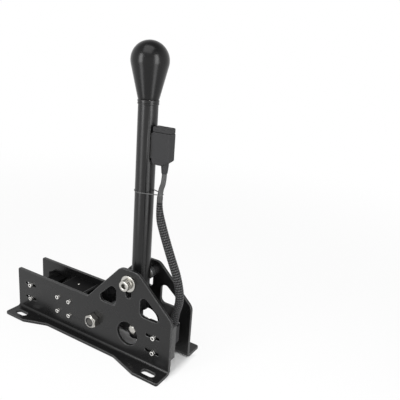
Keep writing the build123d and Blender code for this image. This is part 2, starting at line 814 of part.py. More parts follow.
# Snap switches, their plungers and their screws: the front one faces -X, the rear one +X
screw_heights = (drive_height - switch_screw_pitch / 2, drive_height + switch_screw_pitch / 2)
for name, face_x, side in (("front", front_switch_x, 1), ("rear", rear_switch_x, -1)):
    centre_x = face_x + side * switch_length / 2
    screw_x = face_x + side * switch_length * 0.7
    with BuildPart() as switch_body:
        with Locations((centre_x, switch_y, drive_height)):
            Box(switch_length, switch_width, switch_height)
        fillet(switch_body.edges().filter_by(Axis.Y), 0.6)
        with BuildSketch(Plane.YZ.offset(face_x)):
            with Locations((switch_y, plunger_z)):
                Circle(plunger_diameter / 2 + running_play)
        extrude(amount=side * (plunger_seat + plunger_travel + strike_gap), mode=Mode.SUBTRACT)
        with BuildSketch(Plane.XZ.offset(-mount_y)):
            with Locations(*[(screw_x, z) for z in screw_heights]):
                Circle(switch_screw_diameter / 2 + screw_play)
        extrude(amount=-switch_width, mode=Mode.SUBTRACT)
        # Terminals on the back
        with BuildSketch(Plane.YZ.offset(face_x + side * switch_length)):
            with Locations((switch_y, drive_height)):
                with GridLocations(0, 7.0, 1, 3):
                    Rectangle(0.6, 2.6)
        extrude(amount=side * 2.6)
    switch_body.part.label = f"{name}_switch"
    export_step(switch_body.part, f"parts/{name}_switch.step")

    with BuildPart() as plunger:
        with BuildSketch(Plane.YZ.offset(face_x - side * plunger_reach)):
            with Locations((switch_y, plunger_z)):
                Circle(plunger_diameter / 2)
        extrude(amount=side * (plunger_reach + plunger_seat))
        tip_edges = plunger.edges().filter_by(GeomType.CIRCLE).sort_by(Axis.X)
        fillet(tip_edges[0] if side > 0 else tip_edges[-1], 0.6)
    plunger.part.label = f"{name}_plunger"
    export_step(plunger.part, f"parts/{name}_plunger.step")

with BuildPart() as switch_screws:
    for face_x, side in ((front_switch_x, 1), (rear_switch_x, -1)):
        screw_x = face_x + side * switch_length * 0.7
        places = [(screw_x, z) for z in screw_heights]
        with BuildSketch(Plane.XZ.offset(-mount_y - switch_width)):
            with Locations(*places):
                Circle(switch_screw_diameter)
        extrude(amount=-1.4)
        with BuildSketch(Plane.XZ.offset(-mount_y - switch_width)):
            with Locations(*places):
                Circle(switch_screw_diameter / 2)
        extrude(amount=switch_width)
switch_screws.part.label = "switch_screws"
export_step(switch_screws.part, "parts/switch_screws.step")

# Terminal housing on the front mount, and beside it the gland that takes the cable
mount_front_x = front_mount_x + mount_length / 2
terminal_x = mount_front_x - terminal_length / 2
gland_radius = sleeve_diameter / 2 + gland_play + gland_wall
gland_y = mount_y + terminal_width + gland_radius
with BuildPart() as terminal_housing:
    with Locations((terminal_x, mount_y + terminal_width / 2, drive_height)):
        Box(terminal_length, terminal_width, terminal_height)
    fillet(terminal_housing.edges().filter_by(Axis.Y), 1.0)
terminal_housing.part.label = "terminal_housing"
export_step(terminal_housing.part, "parts/terminal_housing.step")

with BuildPart() as cable_gland:
    with BuildSketch(Plane.XY.offset(gland_top)):
        with Locations((terminal_x, gland_y)):
            Circle(gland_radius)
        with Locations((terminal_x, gland_y - gland_radius / 2)):
            Rectangle(2 * gland_radius, gland_radius)
    extrude(amount=-gland_height)
    fillet(cable_gland.edges().filter_by(GeomType.CIRCLE).sort_by(Axis.Z)[0], 1.0)
    with BuildSketch(Plane.XY.offset(gland_top)):
        with Locations((terminal_x, gland_y)):
            Circle(sleeve_diameter / 2 + gland_play)
    extrude(amount=-gland_grip, mode=Mode.SUBTRACT)
cable_gland.part.label = "cable_gland"
export_step(cable_gland.part, "parts/cable_gland.step")

# Controller box beside the tube, its cap, its pad and the moulded strain relief
box_bottom = pivot_height + box_rise
box_top = box_bottom + box_height
box_x = lever_x + tube_radius + pad_thickness + box_width / 2
box_y = box_near_y + box_depth / 2
seam_z = box_top - cap_height
neck_x = box_x + neck_shift
with BuildPart() as controller_box:
    box_left = box_x - box_width / 2
    box_right = box_x + box_width / 2
    with BuildSketch(Plane.XZ.offset(-box_near_y - box_depth)):
        with BuildLine():
            Polyline(
                (box_left, seam_z - cap_seam),
                (box_left, box_bottom + box_shoulder),
                (box_left + box_shoulder, box_bottom),
                (box_right - outer_shoulder_width, box_bottom),
                (box_right, box_bottom + outer_shoulder_height),
                (box_right, seam_z - cap_seam),
                close=True,
            )
        make_face()
    extrude(amount=box_depth)
    fillet(controller_box.edges().filter_by(Axis.Z), box_corner)
    with BuildSketch(Plane.XY.offset(box_bottom)):
        with Locations((neck_x, box_y)):
            Circle(neck_top_diameter / 2)
    with BuildSketch(Plane.XY.offset(box_bottom - neck_reach)):
        with Locations((neck_x, box_y)):
            Circle(neck_diameter / 2)
    loft()
    with BuildSketch(Plane.XY.offset(box_bottom)):
        with Locations((neck_x, box_y)):
            Circle(neck_top_diameter / 2)
    extrude(amount=outer_shoulder_height)
controller_box.part.label = "controller_box"
export_step(controller_box.part, "parts/controller_box.step")

with BuildPart() as controller_cap:
    with BuildSketch(Plane.XY.offset(seam_z - cap_seam)):
        with Locations((box_x, box_y)):
            RectangleRounded(box_width - 6 * cap_inset, box_depth - 6 * cap_inset, box_corner - cap_inset)
    extrude(amount=cap_seam)
    with BuildSketch(Plane.XY.offset(seam_z)):
        with Locations((box_x, box_y)):
            RectangleRounded(box_width - 2 * cap_inset, box_depth - 2 * cap_inset, box_corner - cap_inset)
    extrude(amount=cap_height)
    chamfer(controller_cap.faces().sort_by(Axis.Z)[-1].edges(), 0.8)
    with BuildSketch(Plane.XY.offset(box_top)):
        with Locations((box_x, box_y)):
            SlotOverall(socket_width, socket_height)
    extrude(amount=-socket_depth, mode=Mode.SUBTRACT)
controller_cap.part.label = "controller_cap"
export_step(controller_cap.part, "parts/controller_cap.step")

with BuildPart() as box_pad:
    with BuildSketch(Plane.XY.offset(box_bottom + box_shoulder + 2.0)):
        with Locations((lever_x + (tube_radius + pad_thickness) / 2, box_y)):
            Rectangle(tube_radius + pad_thickness, pad_width)
        with Locations((lever_x, 0)):
            Circle(tube_radius, mode=Mode.SUBTRACT)
    extrude(amount=seam_z - cap_seam - box_bottom - box_shoulder - 4.0)
box_pad.part.label = "box_pad"
export_step(box_pad.part, "parts/box_pad.step")


def run_radii(points: list[tuple[float, float, float]]) -> list[float]:
    """Radius for each corner of a cable route: as large as its two runs allow."""
    radii = []
    for before, corner, after in zip(points, points[1:], points[2:]):
        into = Vector(*corner) - Vector(*before)
        out = Vector(*after) - Vector(*corner)
        turn = radians(into.get_angle(out))
        radii.append(0.45 * min(into.length, out.length) / tan(turn / 2))
    return radii


# Thin lead from the strain relief down to the braided sleeve
neck_end = (neck_x, box_y, box_bottom - neck_reach)
lead_points = [
    neck_end,
    (neck_x, box_y, 221.5),
    (lever_x + lead_offset, 0.0, 210.0),
    (lever_x + lead_offset, 0.0, 197.5),
]
lead_radii = run_radii(lead_points)
with BuildPart() as signal_lead:
    with BuildLine() as lead_line:
        FilletPolyline(*lead_points, radius=lead_radii)
    with BuildSketch(Plane(origin=lead_line.line @ 0, z_dir=lead_line.line % 0)):
        Circle(lead_diameter / 2)
    sweep()
signal_lead.part.label = "signal_lead"
export_step(signal_lead.part, "parts/signal_lead.step")
print("lead radii", [round(r, 1) for r in lead_radii])
print("lead volume", signal_lead.part.volume, "by length", pi * lead_diameter**2 / 4 * lead_line.wire().length)

# Braided sleeve from the lead down to the gland
sleeve_points = [
    lead_points[-1],
    (lever_x + lead_offset, 0.0, 183.5),
    (lever_x + 30.2, 0.0, 160.0),
    (lever_x + 40.6, 0.0, 136.0),
    (lever_x + 52.0, 0.0, 112.0),
    (lever_x + 57.2, 0.6, 86.0),
    (terminal_x, gland_y, 62.0),
    (terminal_x, gland_y, gland_top - gland_grip),
]
sleeve_radii = run_radii(sleeve_points)
with BuildPart() as cable_sleeve:
    with BuildLine() as sleeve_line:
        FilletPolyline(*sleeve_points, radius=sleeve_radii)
    with BuildSketch(Plane(origin=sleeve_line.line @ 0, z_dir=sleeve_line.line % 0)):
        Circle(sleeve_diameter / 2)
    sweep()
cable_sleeve.part.label = "cable_sleeve"
export_step(cable_sleeve.part, "parts/cable_sleeve.step")
print("sleeve radii", [round(r, 1) for r in sleeve_radii])
print("sleeve volume", cable_sleeve.part.volume, "by length", pi * sleeve_diameter**2 / 4 * sleeve_line.wire().length)

# Tie round the tube and the lead
tie_level = lead_points[-1][2] + tie_rise
with BuildPart() as cable_tie:
    for grow, mode in ((tie_thickness, Mode.ADD), (0.0, Mode.SUBTRACT)):
        with BuildSketch(Plane.XY.offset(tie_level - tie_height / 2)):
            with BuildLine():
                CenterArc((lever_x, 0), tube_radius + grow, 0, 360)
                CenterArc(lead_points[2][:2], lead_diameter / 2 + tie_play + grow, 0, 360)
            make_hull()
        extrude(amount=tie_height, mode=mode)
cable_tie.part.label = "cable_tie"
export_step(cable_tie.part, "parts/cable_tie.step")
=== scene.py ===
"""Sequential shifter and handbrake lever: the pieces and finishes round the fixed frame.

Lengths are written in millimetres and turned into metres where a mesh is made.
"""

from __future__ import annotations

import json
import logging
import math
from dataclasses import astuple, dataclass, replace
from enum import Enum
from typing import Any, Sequence

import bmesh
import bpy
import numpy as np
from mathutils import Matrix, Vector
from numpy.typing import NDArray

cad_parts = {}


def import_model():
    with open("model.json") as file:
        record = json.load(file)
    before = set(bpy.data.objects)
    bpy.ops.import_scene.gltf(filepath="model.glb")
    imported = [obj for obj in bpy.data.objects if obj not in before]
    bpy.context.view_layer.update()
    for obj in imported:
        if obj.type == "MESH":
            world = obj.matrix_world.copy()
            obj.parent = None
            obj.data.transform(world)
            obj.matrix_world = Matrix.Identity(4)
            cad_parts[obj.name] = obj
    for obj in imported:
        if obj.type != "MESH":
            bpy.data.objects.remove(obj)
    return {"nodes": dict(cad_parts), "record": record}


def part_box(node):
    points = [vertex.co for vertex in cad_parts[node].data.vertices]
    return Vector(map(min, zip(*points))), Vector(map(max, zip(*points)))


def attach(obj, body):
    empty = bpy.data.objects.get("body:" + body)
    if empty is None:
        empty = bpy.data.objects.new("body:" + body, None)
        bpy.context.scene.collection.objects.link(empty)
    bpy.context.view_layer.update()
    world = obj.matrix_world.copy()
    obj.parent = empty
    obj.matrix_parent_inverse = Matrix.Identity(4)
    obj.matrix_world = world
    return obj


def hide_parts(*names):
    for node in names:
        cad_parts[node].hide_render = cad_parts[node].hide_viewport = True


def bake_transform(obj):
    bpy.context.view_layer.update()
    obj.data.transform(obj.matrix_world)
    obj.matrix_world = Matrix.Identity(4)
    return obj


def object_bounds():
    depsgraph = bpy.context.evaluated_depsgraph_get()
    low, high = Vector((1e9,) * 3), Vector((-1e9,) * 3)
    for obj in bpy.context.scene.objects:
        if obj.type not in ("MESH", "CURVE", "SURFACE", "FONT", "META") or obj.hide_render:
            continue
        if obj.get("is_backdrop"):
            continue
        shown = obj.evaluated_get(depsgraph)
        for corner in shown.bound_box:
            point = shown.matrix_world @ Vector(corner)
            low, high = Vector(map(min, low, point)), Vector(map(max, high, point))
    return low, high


Array = NDArray[np.float64]
Colour = tuple[float, float, float]
Point = tuple[float, float, float]

MM = 0.001
TURN = 2.0 * math.pi
SIXTH = TURN / 6.0
QUARTER = TURN / 4.0
FINE_COLUMNS = 96
LOG = logging.getLogger("shifter")


class Body(Enum):
    """The bodies that pieces ride on."""

    BASE = "base"
    LEVER = "lever"
    LINK = "link"
    FRONT_PLUNGER = "front_plunger"
    REAR_PLUNGER = "rear_plunger"


class Heading(Enum):
    """The ways that the axis of a turned piece can point."""

    FAR = (0.0, 1.0, 0.0)
    NEAR = (0.0, -1.0, 0.0)
    UP = (0.0, 0.0, 1.0)


@dataclass(frozen=True)
class Surface:
    """Points and faces of one sheet or shell, in millimetres.

    Attributes:
        points: One row for each point.
        quads: Four point numbers for each four-cornered face.
        tris: Three point numbers for each three-cornered face.
        tone: One value for each point, which a finish may read as the attribute "tone": painted shade in
            recesses, and painted highlight and shade on braid strands.
        across: One value for each point, from -1 to 1 over a strand's width.
    """

    points: Array
    quads: NDArray[np.int64]
    tris: NDArray[np.int64]
    tone: Array
    across: Array

    @staticmethod
    def grid(
        points: Array, wrap_rows: bool = False, caps: bool = False, across: Array | None = None
    ) -> Surface:
        """A sheet over a grid of points whose columns close on themselves.

        Args:
            points: Shape (rows, columns, 3).
            wrap_rows: True where the last row joins the first.
            caps: True to close both ends with a fan to the middle of the end row.
            across: One value for each column, or None for zeros.

        Returns:
            The sheet, with a tone of zero.
        """
        rows, columns = points.shape[:2]
        number = np.arange(rows * columns).reshape(rows, columns)
        beside = np.roll(number, -1, axis=1)
        quads = np.stack([number, beside, np.roll(beside, -1, axis=0), np.roll(number, -1, axis=0)], -1)
        quads = (quads if wrap_rows else quads[:-1]).reshape(-1, 4)
        flat = points.reshape(-1, 3)
        tris = np.zeros((0, 3), np.int64)
        if caps:
            first = np.full(columns, len(flat))
            fans = [(first, beside[0], number[0]), (first + 1, number[-1], beside[-1])]
            tris = np.vstack([np.stack(fan, -1) for fan in fans])
            flat = np.vstack([flat, points[0].mean(0), points[-1].mean(0)])
        spread = np.zeros(len(flat))
        if across is not None:
            spread[: rows * columns] = np.tile(across, rows)
        return Surface(flat, quads, tris, np.zeros(len(flat)), spread)

    @staticmethod
    def joined(parts: Sequence[Surface]) -> Surface:
        """Several surfaces as one, each still a shell of its own.

        Args:
            parts: The surfaces.

        Returns:
            One surface, in which each part's point numbers are moved on by the points before it.
        """
        starts = np.cumsum([0] + [len(part.points) for part in parts[:-1]])
        return Surface(
            np.vstack([part.points for part in parts]),
            np.vstack([part.quads + start for part, start in zip(parts, starts)]),
            np.vstack([part.tris + start for part, start in zip(parts, starts)]),
            np.concatenate([part.tone for part in parts]),
            np.concatenate([part.across for part in parts]),
        )

    def placed(self, origin: Sequence[float], heading: Heading, spin: float = 0.0) -> Surface:
        """The surface with its Z axis turned to a heading and its origin moved.

        Args:
            origin: Where the surface's own origin goes.
            heading: Where its Z axis points.
            spin: Turn about that axis first, in degrees.

        Returns:
            The moved surface.
        """
        axis = np.array(heading.value)
        side = np.cross([0.0, 1.0, 0.0] if abs(axis[2]) > 0.5 else [0.0, 0.0, 1.0], axis)
        frame = np.stack([side, np.cross(axis, side), axis])
        c, s = math.cos(math.radians(spin)), math.sin(math.radians(spin))
        spun = self.points @ np.array([[c, s, 0.0], [-s, c, 0.0], [0.0, 0.0, 1.0]])
        return replace(self, points=spun @ frame + np.array(origin))

    def to_object(self, name: str, sharp_angle: float = 35.0) -> bpy.types.Object:
        """A mesh object at the origin, in metres, with its faces outwards.

        Args:
            name: The object's name.
            sharp_angle: Edges that turn more than this many degrees are shaded sharp.

        Returns:
            The new object, linked to the scene.
        """
        mesh = bpy.data.meshes.new(name)
        mesh.vertices.add(len(self.points))
        mesh.vertices.foreach_set("co", (self.points * MM).astype(np.float32).ravel())
        corners = np.concatenate([self.quads.ravel(), self.tris.ravel()]).astype(np.int32)
        sizes = np.repeat([4, 3], [len(self.quads), len(self.tris)])
        mesh.loops.add(len(corners))
        mesh.loops.foreach_set("vertex_index", corners)
        mesh.polygons.add(len(sizes))
        mesh.polygons.foreach_set("loop_start", (np.cumsum(sizes) - sizes).astype(np.int32))
        mesh.update(calc_edges=True)
        for label, values in (("tone", self.tone), ("across", self.across)):
            if np.ptp(values) > 0 or label == "tone":
                layer = mesh.attributes.new(label, "FLOAT", "POINT")
                layer.data.foreach_set("value", values.astype(np.float32))
        outwards(mesh)
        shade(mesh, sharp_angle)
        return linked(name, mesh)


def linked(name: str, data: bpy.types.ID) -> bpy.types.Object:
    """A new object at the origin, linked to the scene.

    Args:
        name: The object's name.
        data: The mesh, curve, lamp or camera that it shows.

    Returns:
        The object.
    """
    made = bpy.data.objects.new(name, data)
    bpy.context.scene.collection.objects.link(made)
    return made


def outwards(mesh: bpy.types.Mesh) -> None:
    """Turns the faces of every closed shell outwards.

    Args:
        mesh: The mesh, which is changed.
    """
    work = bmesh.new()
    work.from_mesh(mesh)
    bmesh.ops.recalc_face_normals(work, faces=work.faces)
    work.to_mesh(mesh)
    work.free()


def shade(mesh: bpy.types.Mesh, sharp_angle: float) -> None:
    """Smooth shading, with the edges that turn more than an angle in degrees kept sharp."""
    mesh.polygons.foreach_set("use_smooth", np.ones(len(mesh.polygons), bool))
    mesh.set_sharp_from_angle(angle=math.radians(sharp_angle))


@dataclass(frozen=True)
class Ring:
    """One ring of a turned piece.

    Attributes:
        height: How far along the axis it is.
        radius: Its radius, or half the width over flats where it is a hexagon.
        hexagon: From 0, round, to 1, a hexagon.
        knurl: Depth of the knurling.
        thread: Depth of the thread.
        limit: The ring is cut off outside this radius, as a chamfer cuts a hexagon's corners.
        painted_shade: From 0, none, to 1, dark: painted shade, as in a recess.
    """

    height: float
    radius: float
    hexagon: float = 0.0
    knurl: float = 0.0
    thread: float = 0.0
    limit: float = math.inf
    painted_shade: float = 0.0


def turned(
    rings: Sequence[Ring],
    columns: int = FINE_COLUMNS,
    knurls: int = 0,
    pitch: float = 1.0,
    closed_loop: bool = False,
) -> Surface:
    """A turned piece: each ring's radius as a function of the angle round the axis.

    A hexagon's radius is its half width divided by the cosine of the angle from the middle of the
    nearest flat. Knurling takes away half a wave of one minus cosine. A thread takes away a triangle
    wave of the height in pitches less the angle in turns.

    Args:
        rings: The rings from one end to the other.
        columns: Points round each ring.
        knurls: Ridges of the knurling in one turn.
        pitch: Pitch of the thread.
        closed_loop: True where the last ring joins the first, as on a washer.

    Returns:
        The piece on the Z axis.
    """
    angle = np.arange(columns) * TURN / columns
    table = np.array([astuple(ring) for ring in rings]).T[:, :, None]
    height, radius, hexagon, knurl, thread, limit, painted_shade = table
    corner = 1.0 / np.cos(np.mod(angle + SIXTH / 2, SIXTH) - SIXTH / 2)
    wave = 2.0 * np.abs(np.mod(height / pitch - angle / TURN, 1.0) - 0.5)
    reach = radius * (1.0 + hexagon * (corner - 1.0))
    reach = reach - knurl * (0.5 - 0.5 * np.cos(knurls * angle)) - thread * wave
    reach = np.minimum(reach, limit)
    points = np.stack([reach * np.cos(angle), reach * np.sin(angle), height + 0.0 * angle], -1)
    made = Surface.grid(points, wrap_rows=closed_loop, caps=not closed_loop)
    # The attribute "tone" takes each ring's painted shade, which darkens recesses.
    ends = [] if closed_loop else [rings[0].painted_shade, rings[-1].painted_shade]
    return replace(made, tone=np.concatenate([np.repeat(painted_shade, columns), ends]))


def slab(low: Sequence[float], high: Sequence[float], corner: float, edge: float) -> Surface:
    """A block with rounded upright corners and rounded rims at its top and bottom.

    Each ring is a rectangle whose corners are quarter circles, drawn in near the top and the bottom by
    the edge's radius less its sine.

    Args:
        low: Its lowest corner.
        high: Its highest corner.
        corner: Radius of the upright corners.
        edge: Radius of the rims.

    Returns:
        The block.
    """
    middle, half = (np.array(low) + high) / 2, (np.array(high) - low) / 2
    rim = np.linspace(0.0, QUARTER, 4)
    inset, rise = edge * (1.0 - np.sin(rim)), edge * (1.0 - np.cos(rim))
    reach = corner - np.concatenate([inset, inset[::-1]])[:, None]
    level = np.concatenate([low[2] + rise, high[2] - rise[::-1]])[:, None]
    bend = np.linspace(0.0, QUARTER, 5)
    angle = (np.arange(4)[:, None] * QUARTER + bend).ravel()
    side_x, side_y = np.repeat([[1, -1, -1, 1], [1, 1, -1, -1]], len(bend), axis=1)
    x = middle[0] + side_x * (half[0] - corner) + reach * np.cos(angle)
    y = middle[1] + side_y * (half[1] - corner) + reach * np.sin(angle)
    return Surface.grid(np.stack([x, y, level + 0.0 * angle], -1), caps=True)


def unit(vectors: Array) -> Array:
    """Each row divided by its length."""
    return vectors / np.linalg.norm(vectors, axis=1, keepdims=True)


def frames_along(path: Array) -> tuple[Array, Array]:
    """Two directions square to a path that never runs along Y.

    The first is Y less its share along the path, so it never twists, and the second is square to both.

    Args:
        path: Points of the line.

    Returns:
        Unit vectors across the line, and unit vectors out of it.
    """
    along = unit(np.gradient(path, axis=0))
    across = unit(np.array([0.0, 1.0, 0.0]) - along * along[:, 1:2])
    return across, np.cross(along, across)


def tube(path: Array, radius: Array | float, columns: int) -> Surface:
    """A round tube: at each point of the path, a circle of that radius square to the line.

    Args:
        path: Points of the line.
        radius: One radius, or one for each point.
        columns: Points round each circle.

    Returns:
        The tube, closed at both ends.
    """
    across, out = frames_along(path)
    angle = (np.arange(columns) * TURN / columns)[None, :, None]
    reach = np.broadcast_to(np.asarray(radius, float), len(path))[:, None, None]
    circle = across[:, None] * np.cos(angle) + out[:, None] * np.sin(angle)
    return Surface.grid(path[:, None] + reach * circle, caps=True)


def run_of(line: Array) -> Array:
    """How far along a line each of its points is."""
    return np.concatenate([[0.0], np.cumsum(np.linalg.norm(np.diff(line, axis=0), axis=1))])


def smoothstep(value: Array) -> Array:
    """Zero before 0, one after 1, and three squares less two cubes between."""
    inside = np.clip(value, 0.0, 1.0)
    return inside * inside * (3.0 - 2.0 * inside)


@dataclass
class Route:
    """A cord's line: one smooth spline whose control points are given.

    Attributes:
        name: Its name while it is worked out.
        controls: Its control points.
        resolution: Points that are worked out for each control point.
    """

    name: str
    controls: Sequence[Sequence[float]]
    resolution: int = 48

    def line(self, spacing: float) -> Array:
        """Points of the spline, evenly spaced.

        Args:
            spacing: Distance between points.

        Returns:
            The points, from one end to the other.
        """
        curve = bpy.data.curves.new(self.name, "CURVE")
        curve.dimensions = "3D"
        curve.resolution_u = self.resolution
        spline = curve.splines.new("NURBS")
        spline.points.add(len(self.controls) - 1)
        for point, place in zip(spline.points, self.controls):
            point.co = (*[value * MM for value in place], 1.0)
        spline.order_u = 3
        spline.use_endpoint_u = True
        holder = linked(self.name, curve)
        bpy.context.view_layer.update()
        mesh = bpy.data.meshes.new_from_object(holder)
        points = np.zeros(len(mesh.vertices) * 3, np.float32)
        mesh.vertices.foreach_get("co", points)
        bpy.data.objects.remove(holder)
        bpy.data.curves.remove(curve)
        bpy.data.meshes.remove(mesh)
        points = points.reshape(-1, 3).astype(float) / MM
        run = run_of(points)
        stops = np.linspace(0.0, run[-1], max(2, int(round(run[-1] / spacing)) + 1))
        return np.stack([np.interp(stops, run, points[:, axis]) for axis in range(3)], -1)


class Wiring:
    """Adds nodes to one node tree and joins their sockets."""

    def __init__(self, tree: bpy.types.NodeTree) -> None:
        """Keeps the tree."""
        self.tree = tree

    def node(self, kind: str, inputs: dict[Any, Any] | None = None, **settings: Any) -> bpy.types.Node:
        """Adds a node.

        Args:
            kind: The node's type.
            inputs: A value, or an output to join, for each input by name or number.
            **settings: Properties of the node, which are set before its inputs.

        Returns:
            The new node.
        """
        made = self.tree.nodes.new(kind)
        for key, value in settings.items():
            setattr(made, key, value)
        for key, value in (inputs or {}).items():
            if isinstance(value, bpy.types.NodeSocket):
                self.tree.links.new(value, made.inputs[key])
            else:
                made.inputs[key].default_value = value
        return made

    def maths(self, operation: str, first: Any, second: Any = 0.0) -> bpy.types.NodeSocket:
        """The result of one Math node."""
        return self.node("ShaderNodeMath", {0: first, 1: second}, operation=operation).outputs[0]

    def ranged(self, value: Any, low: float, high: float) -> bpy.types.NodeSocket:
        """A value from 0 to 1 spread over another range."""
        made = self.node("ShaderNodeMapRange", {"Value": value, "To Min": low, "To Max": high})
        return made.outputs["Result"]

    def noise(self, place: Any, scale: Any, detail: float, roughness: float) -> bpy.types.NodeSocket:
        """Noise over a place, from 0 to 1."""
        inputs = {"Vector": place, "Scale": scale, "Detail": detail, "Roughness": roughness}
        return self.node("ShaderNodeTexNoise", inputs).outputs["Fac"]

    def place(self) -> bpy.types.NodeSocket:
        """Object coordinates."""
        return self.node("ShaderNodeTexCoord").outputs["Object"]

    def attribute(self, name: str) -> bpy.types.NodeSocket:
        """A value that the mesh keeps for each point."""
        return self.node("ShaderNodeAttribute", attribute_name=name).outputs["Fac"]


class Effects:
    """Node groups that more than one finish uses, each made once."""

    @staticmethod
    def begin(
        name: str, vectors: Sequence[str], numbers: dict[str, float], outputs: Sequence[str]
    ) -> tuple[Wiring, Any]:
        """An empty shader node group.

        Args:
            name: The group's name.
            vectors: Names of its vector inputs.
            numbers: First value of each of its number inputs.
            outputs: Names of its outputs, all of them numbers.

        Returns:
            The wiring of the group's tree, and what comes in through its inputs.
        """
        tree = bpy.data.node_groups.new(name, "ShaderNodeTree")
        for label in vectors:
            tree.interface.new_socket(name=label, in_out="INPUT", socket_type="NodeSocketVector")
        for label, value in numbers.items():
            socket = tree.interface.new_socket(name=label, in_out="INPUT", socket_type="NodeSocketFloat")
            socket.default_value = value
        for label in outputs:
            tree.interface.new_socket(name=label, in_out="OUTPUT", socket_type="NodeSocketFloat")
        wiring = Wiring(tree)
        return wiring, wiring.node("NodeGroupInput").outputs

    @staticmethod
    def speckle() -> bpy.types.NodeTree:
        """Fine grain of a coat or a moulding, with slow patches over it.

        Returns:
            A group with the inputs Place, Scale and Patch, and the outputs Height, Grain and Patches.
        """
        found = bpy.data.node_groups.get("speckle")
        if found:
            return found
        numbers = {"Scale": 1000.0, "Patch": 30.0}
        wiring, given = Effects.begin("speckle", ("Place",), numbers, ("Height", "Grain", "Patches"))
        grain = wiring.noise(given["Place"], given["Scale"], 3.0, 0.6)
        patches = wiring.noise(given["Place"], given["Patch"], 2.0, 0.5)
        rounded = wiring.node("ShaderNodeMath", {0: grain, 1: 1.5}, operation="POWER", use_clamp=True)
        results = {"Height": rounded.outputs[0], "Grain": grain, "Patches": patches}
        wiring.node("NodeGroupOutput", results)
        return wiring.tree

    @staticmethod
    def scratches() -> bpy.types.NodeTree:
        """Long fine lines left by a tool, as noise that is stretched along one direction.

        Returns:
            A group with the inputs Place, Stretch and Scale, and the outputs Height and Lines.
        """
        found = bpy.data.node_groups.get("scratches")
        if found:
            return found
        wiring, given = Effects.begin(
            "scratches", ("Place", "Stretch"), {"Scale": 500.0}, ("Height", "Lines")
        )
        drawn = wiring.node(
            "ShaderNodeVectorMath", {0: given["Place"], 1: given["Stretch"]}, operation="MULTIPLY"
        )
        lines = wiring.noise(drawn.outputs[0], given["Scale"], 4.0, 0.7)
        wiring.node("NodeGroupOutput", {"Height": lines, "Lines": lines})
        return wiring.tree


@dataclass(frozen=True)
class Finish:
    """A finish whose grain is even in every direction: coats and mouldings.

    Attributes:
        name: The material's name.
        colour: Its plain colour.
        roughness: Its mean roughness.
        grain: Grain size in grains per metre.
        depth: Height of the grain in millimetres.
        tone_spread: How much lighter the lightest grain is, as a share of the colour.
        rough_spread: How much the roughness wanders.
        specular: Strength of the gloss.
        metallic: 1 for bare metal.
        patch: Slow patches per metre.
        mask_ends: Where the colour mask is darkest and lightest.
    """

    name: str
    colour: Colour
    roughness: float
    grain: float = 1500.0
    depth: float = 0.01
    tone_spread: float = 0.25
    rough_spread: float = 0.08
    specular: float = 0.5
    metallic: float = 0.0
    patch: float = 40.0
    mask_ends: tuple[float, float] = (0.3, 0.7)

    def material(self) -> bpy.types.Material:
        """The material, made at the first call.

        Returns:
            The material, with its nodes joined.
        """
        found = bpy.data.materials.get(self.name)
        if found:
            return found
        made = bpy.data.materials.new(self.name)
        made.use_nodes = True
        made.node_tree.nodes.clear()
        wiring = Wiring(made.node_tree)
        plain = {"Metallic": self.metallic, "Specular IOR Level": self.specular}
        shader = wiring.node("ShaderNodeBsdfPrincipled", plain)
        self.wire(wiring, shader)
        wiring.node("ShaderNodeOutputMaterial", {"Surface": shader.outputs["BSDF"]})
        return made

    def wire(self, wiring: Wiring, shader: bpy.types.Node) -> None:
        """Joins the finish's effects to the shader.

        Args:
            wiring: The material's wiring.
            shader: Its Principled BSDF.
        """
        inputs = {"Place": wiring.place(), "Scale": self.grain, "Patch": self.patch}
        effect = wiring.node("ShaderNodeGroup", inputs, node_tree=Effects.speckle()).outputs
        self.surface(wiring, shader, effect["Grain"], effect["Patches"], effect["Height"])

    def surface(
        self,
        wiring: Wiring,
        shader: bpy.types.Node,
        tone: bpy.types.NodeSocket,
        rough: bpy.types.NodeSocket,
        height: bpy.types.NodeSocket,
    ) -> None:
        """Feeds colour, roughness and bump from three masks.

        Args:
            wiring: The material's wiring.
            shader: Its Principled BSDF.
            tone: Mask for the colour.
            rough: Mask for the roughness.
            height: Mask for the bump.
        """
        wiring.tree.links.new(self.mixed(wiring, tone), shader.inputs["Base Color"])
        low = max(0.02, self.roughness - self.rough_spread)
        high = min(1.0, self.roughness + self.rough_spread)
        wiring.tree.links.new(wiring.ranged(rough, low, high), shader.inputs["Roughness"])
        bump = wiring.node("ShaderNodeBump", {"Height": height, "Distance": self.depth * MM})
        wiring.tree.links.new(bump.outputs["Normal"], shader.inputs["Normal"])

    def mixed(self, wiring: Wiring, tone: bpy.types.NodeSocket) -> bpy.types.NodeSocket:
        """The colour, darker and lighter by the tone mask.

        Args:
            wiring: The material's wiring.
            tone: Mask for the colour.

        Returns:
            The output that holds the colour.
        """
        ramp = wiring.node("ShaderNodeValToRGB", {"Fac": tone})
        spreads = (-self.tone_spread, self.tone_spread)
        for end, position, spread in zip(ramp.color_ramp.elements, self.mask_ends, spreads):
            end.position = position
            end.color = (*[min(1.0, c * (1.0 + spread)) for c in self.colour], 1.0)
        return ramp.outputs["Color"]


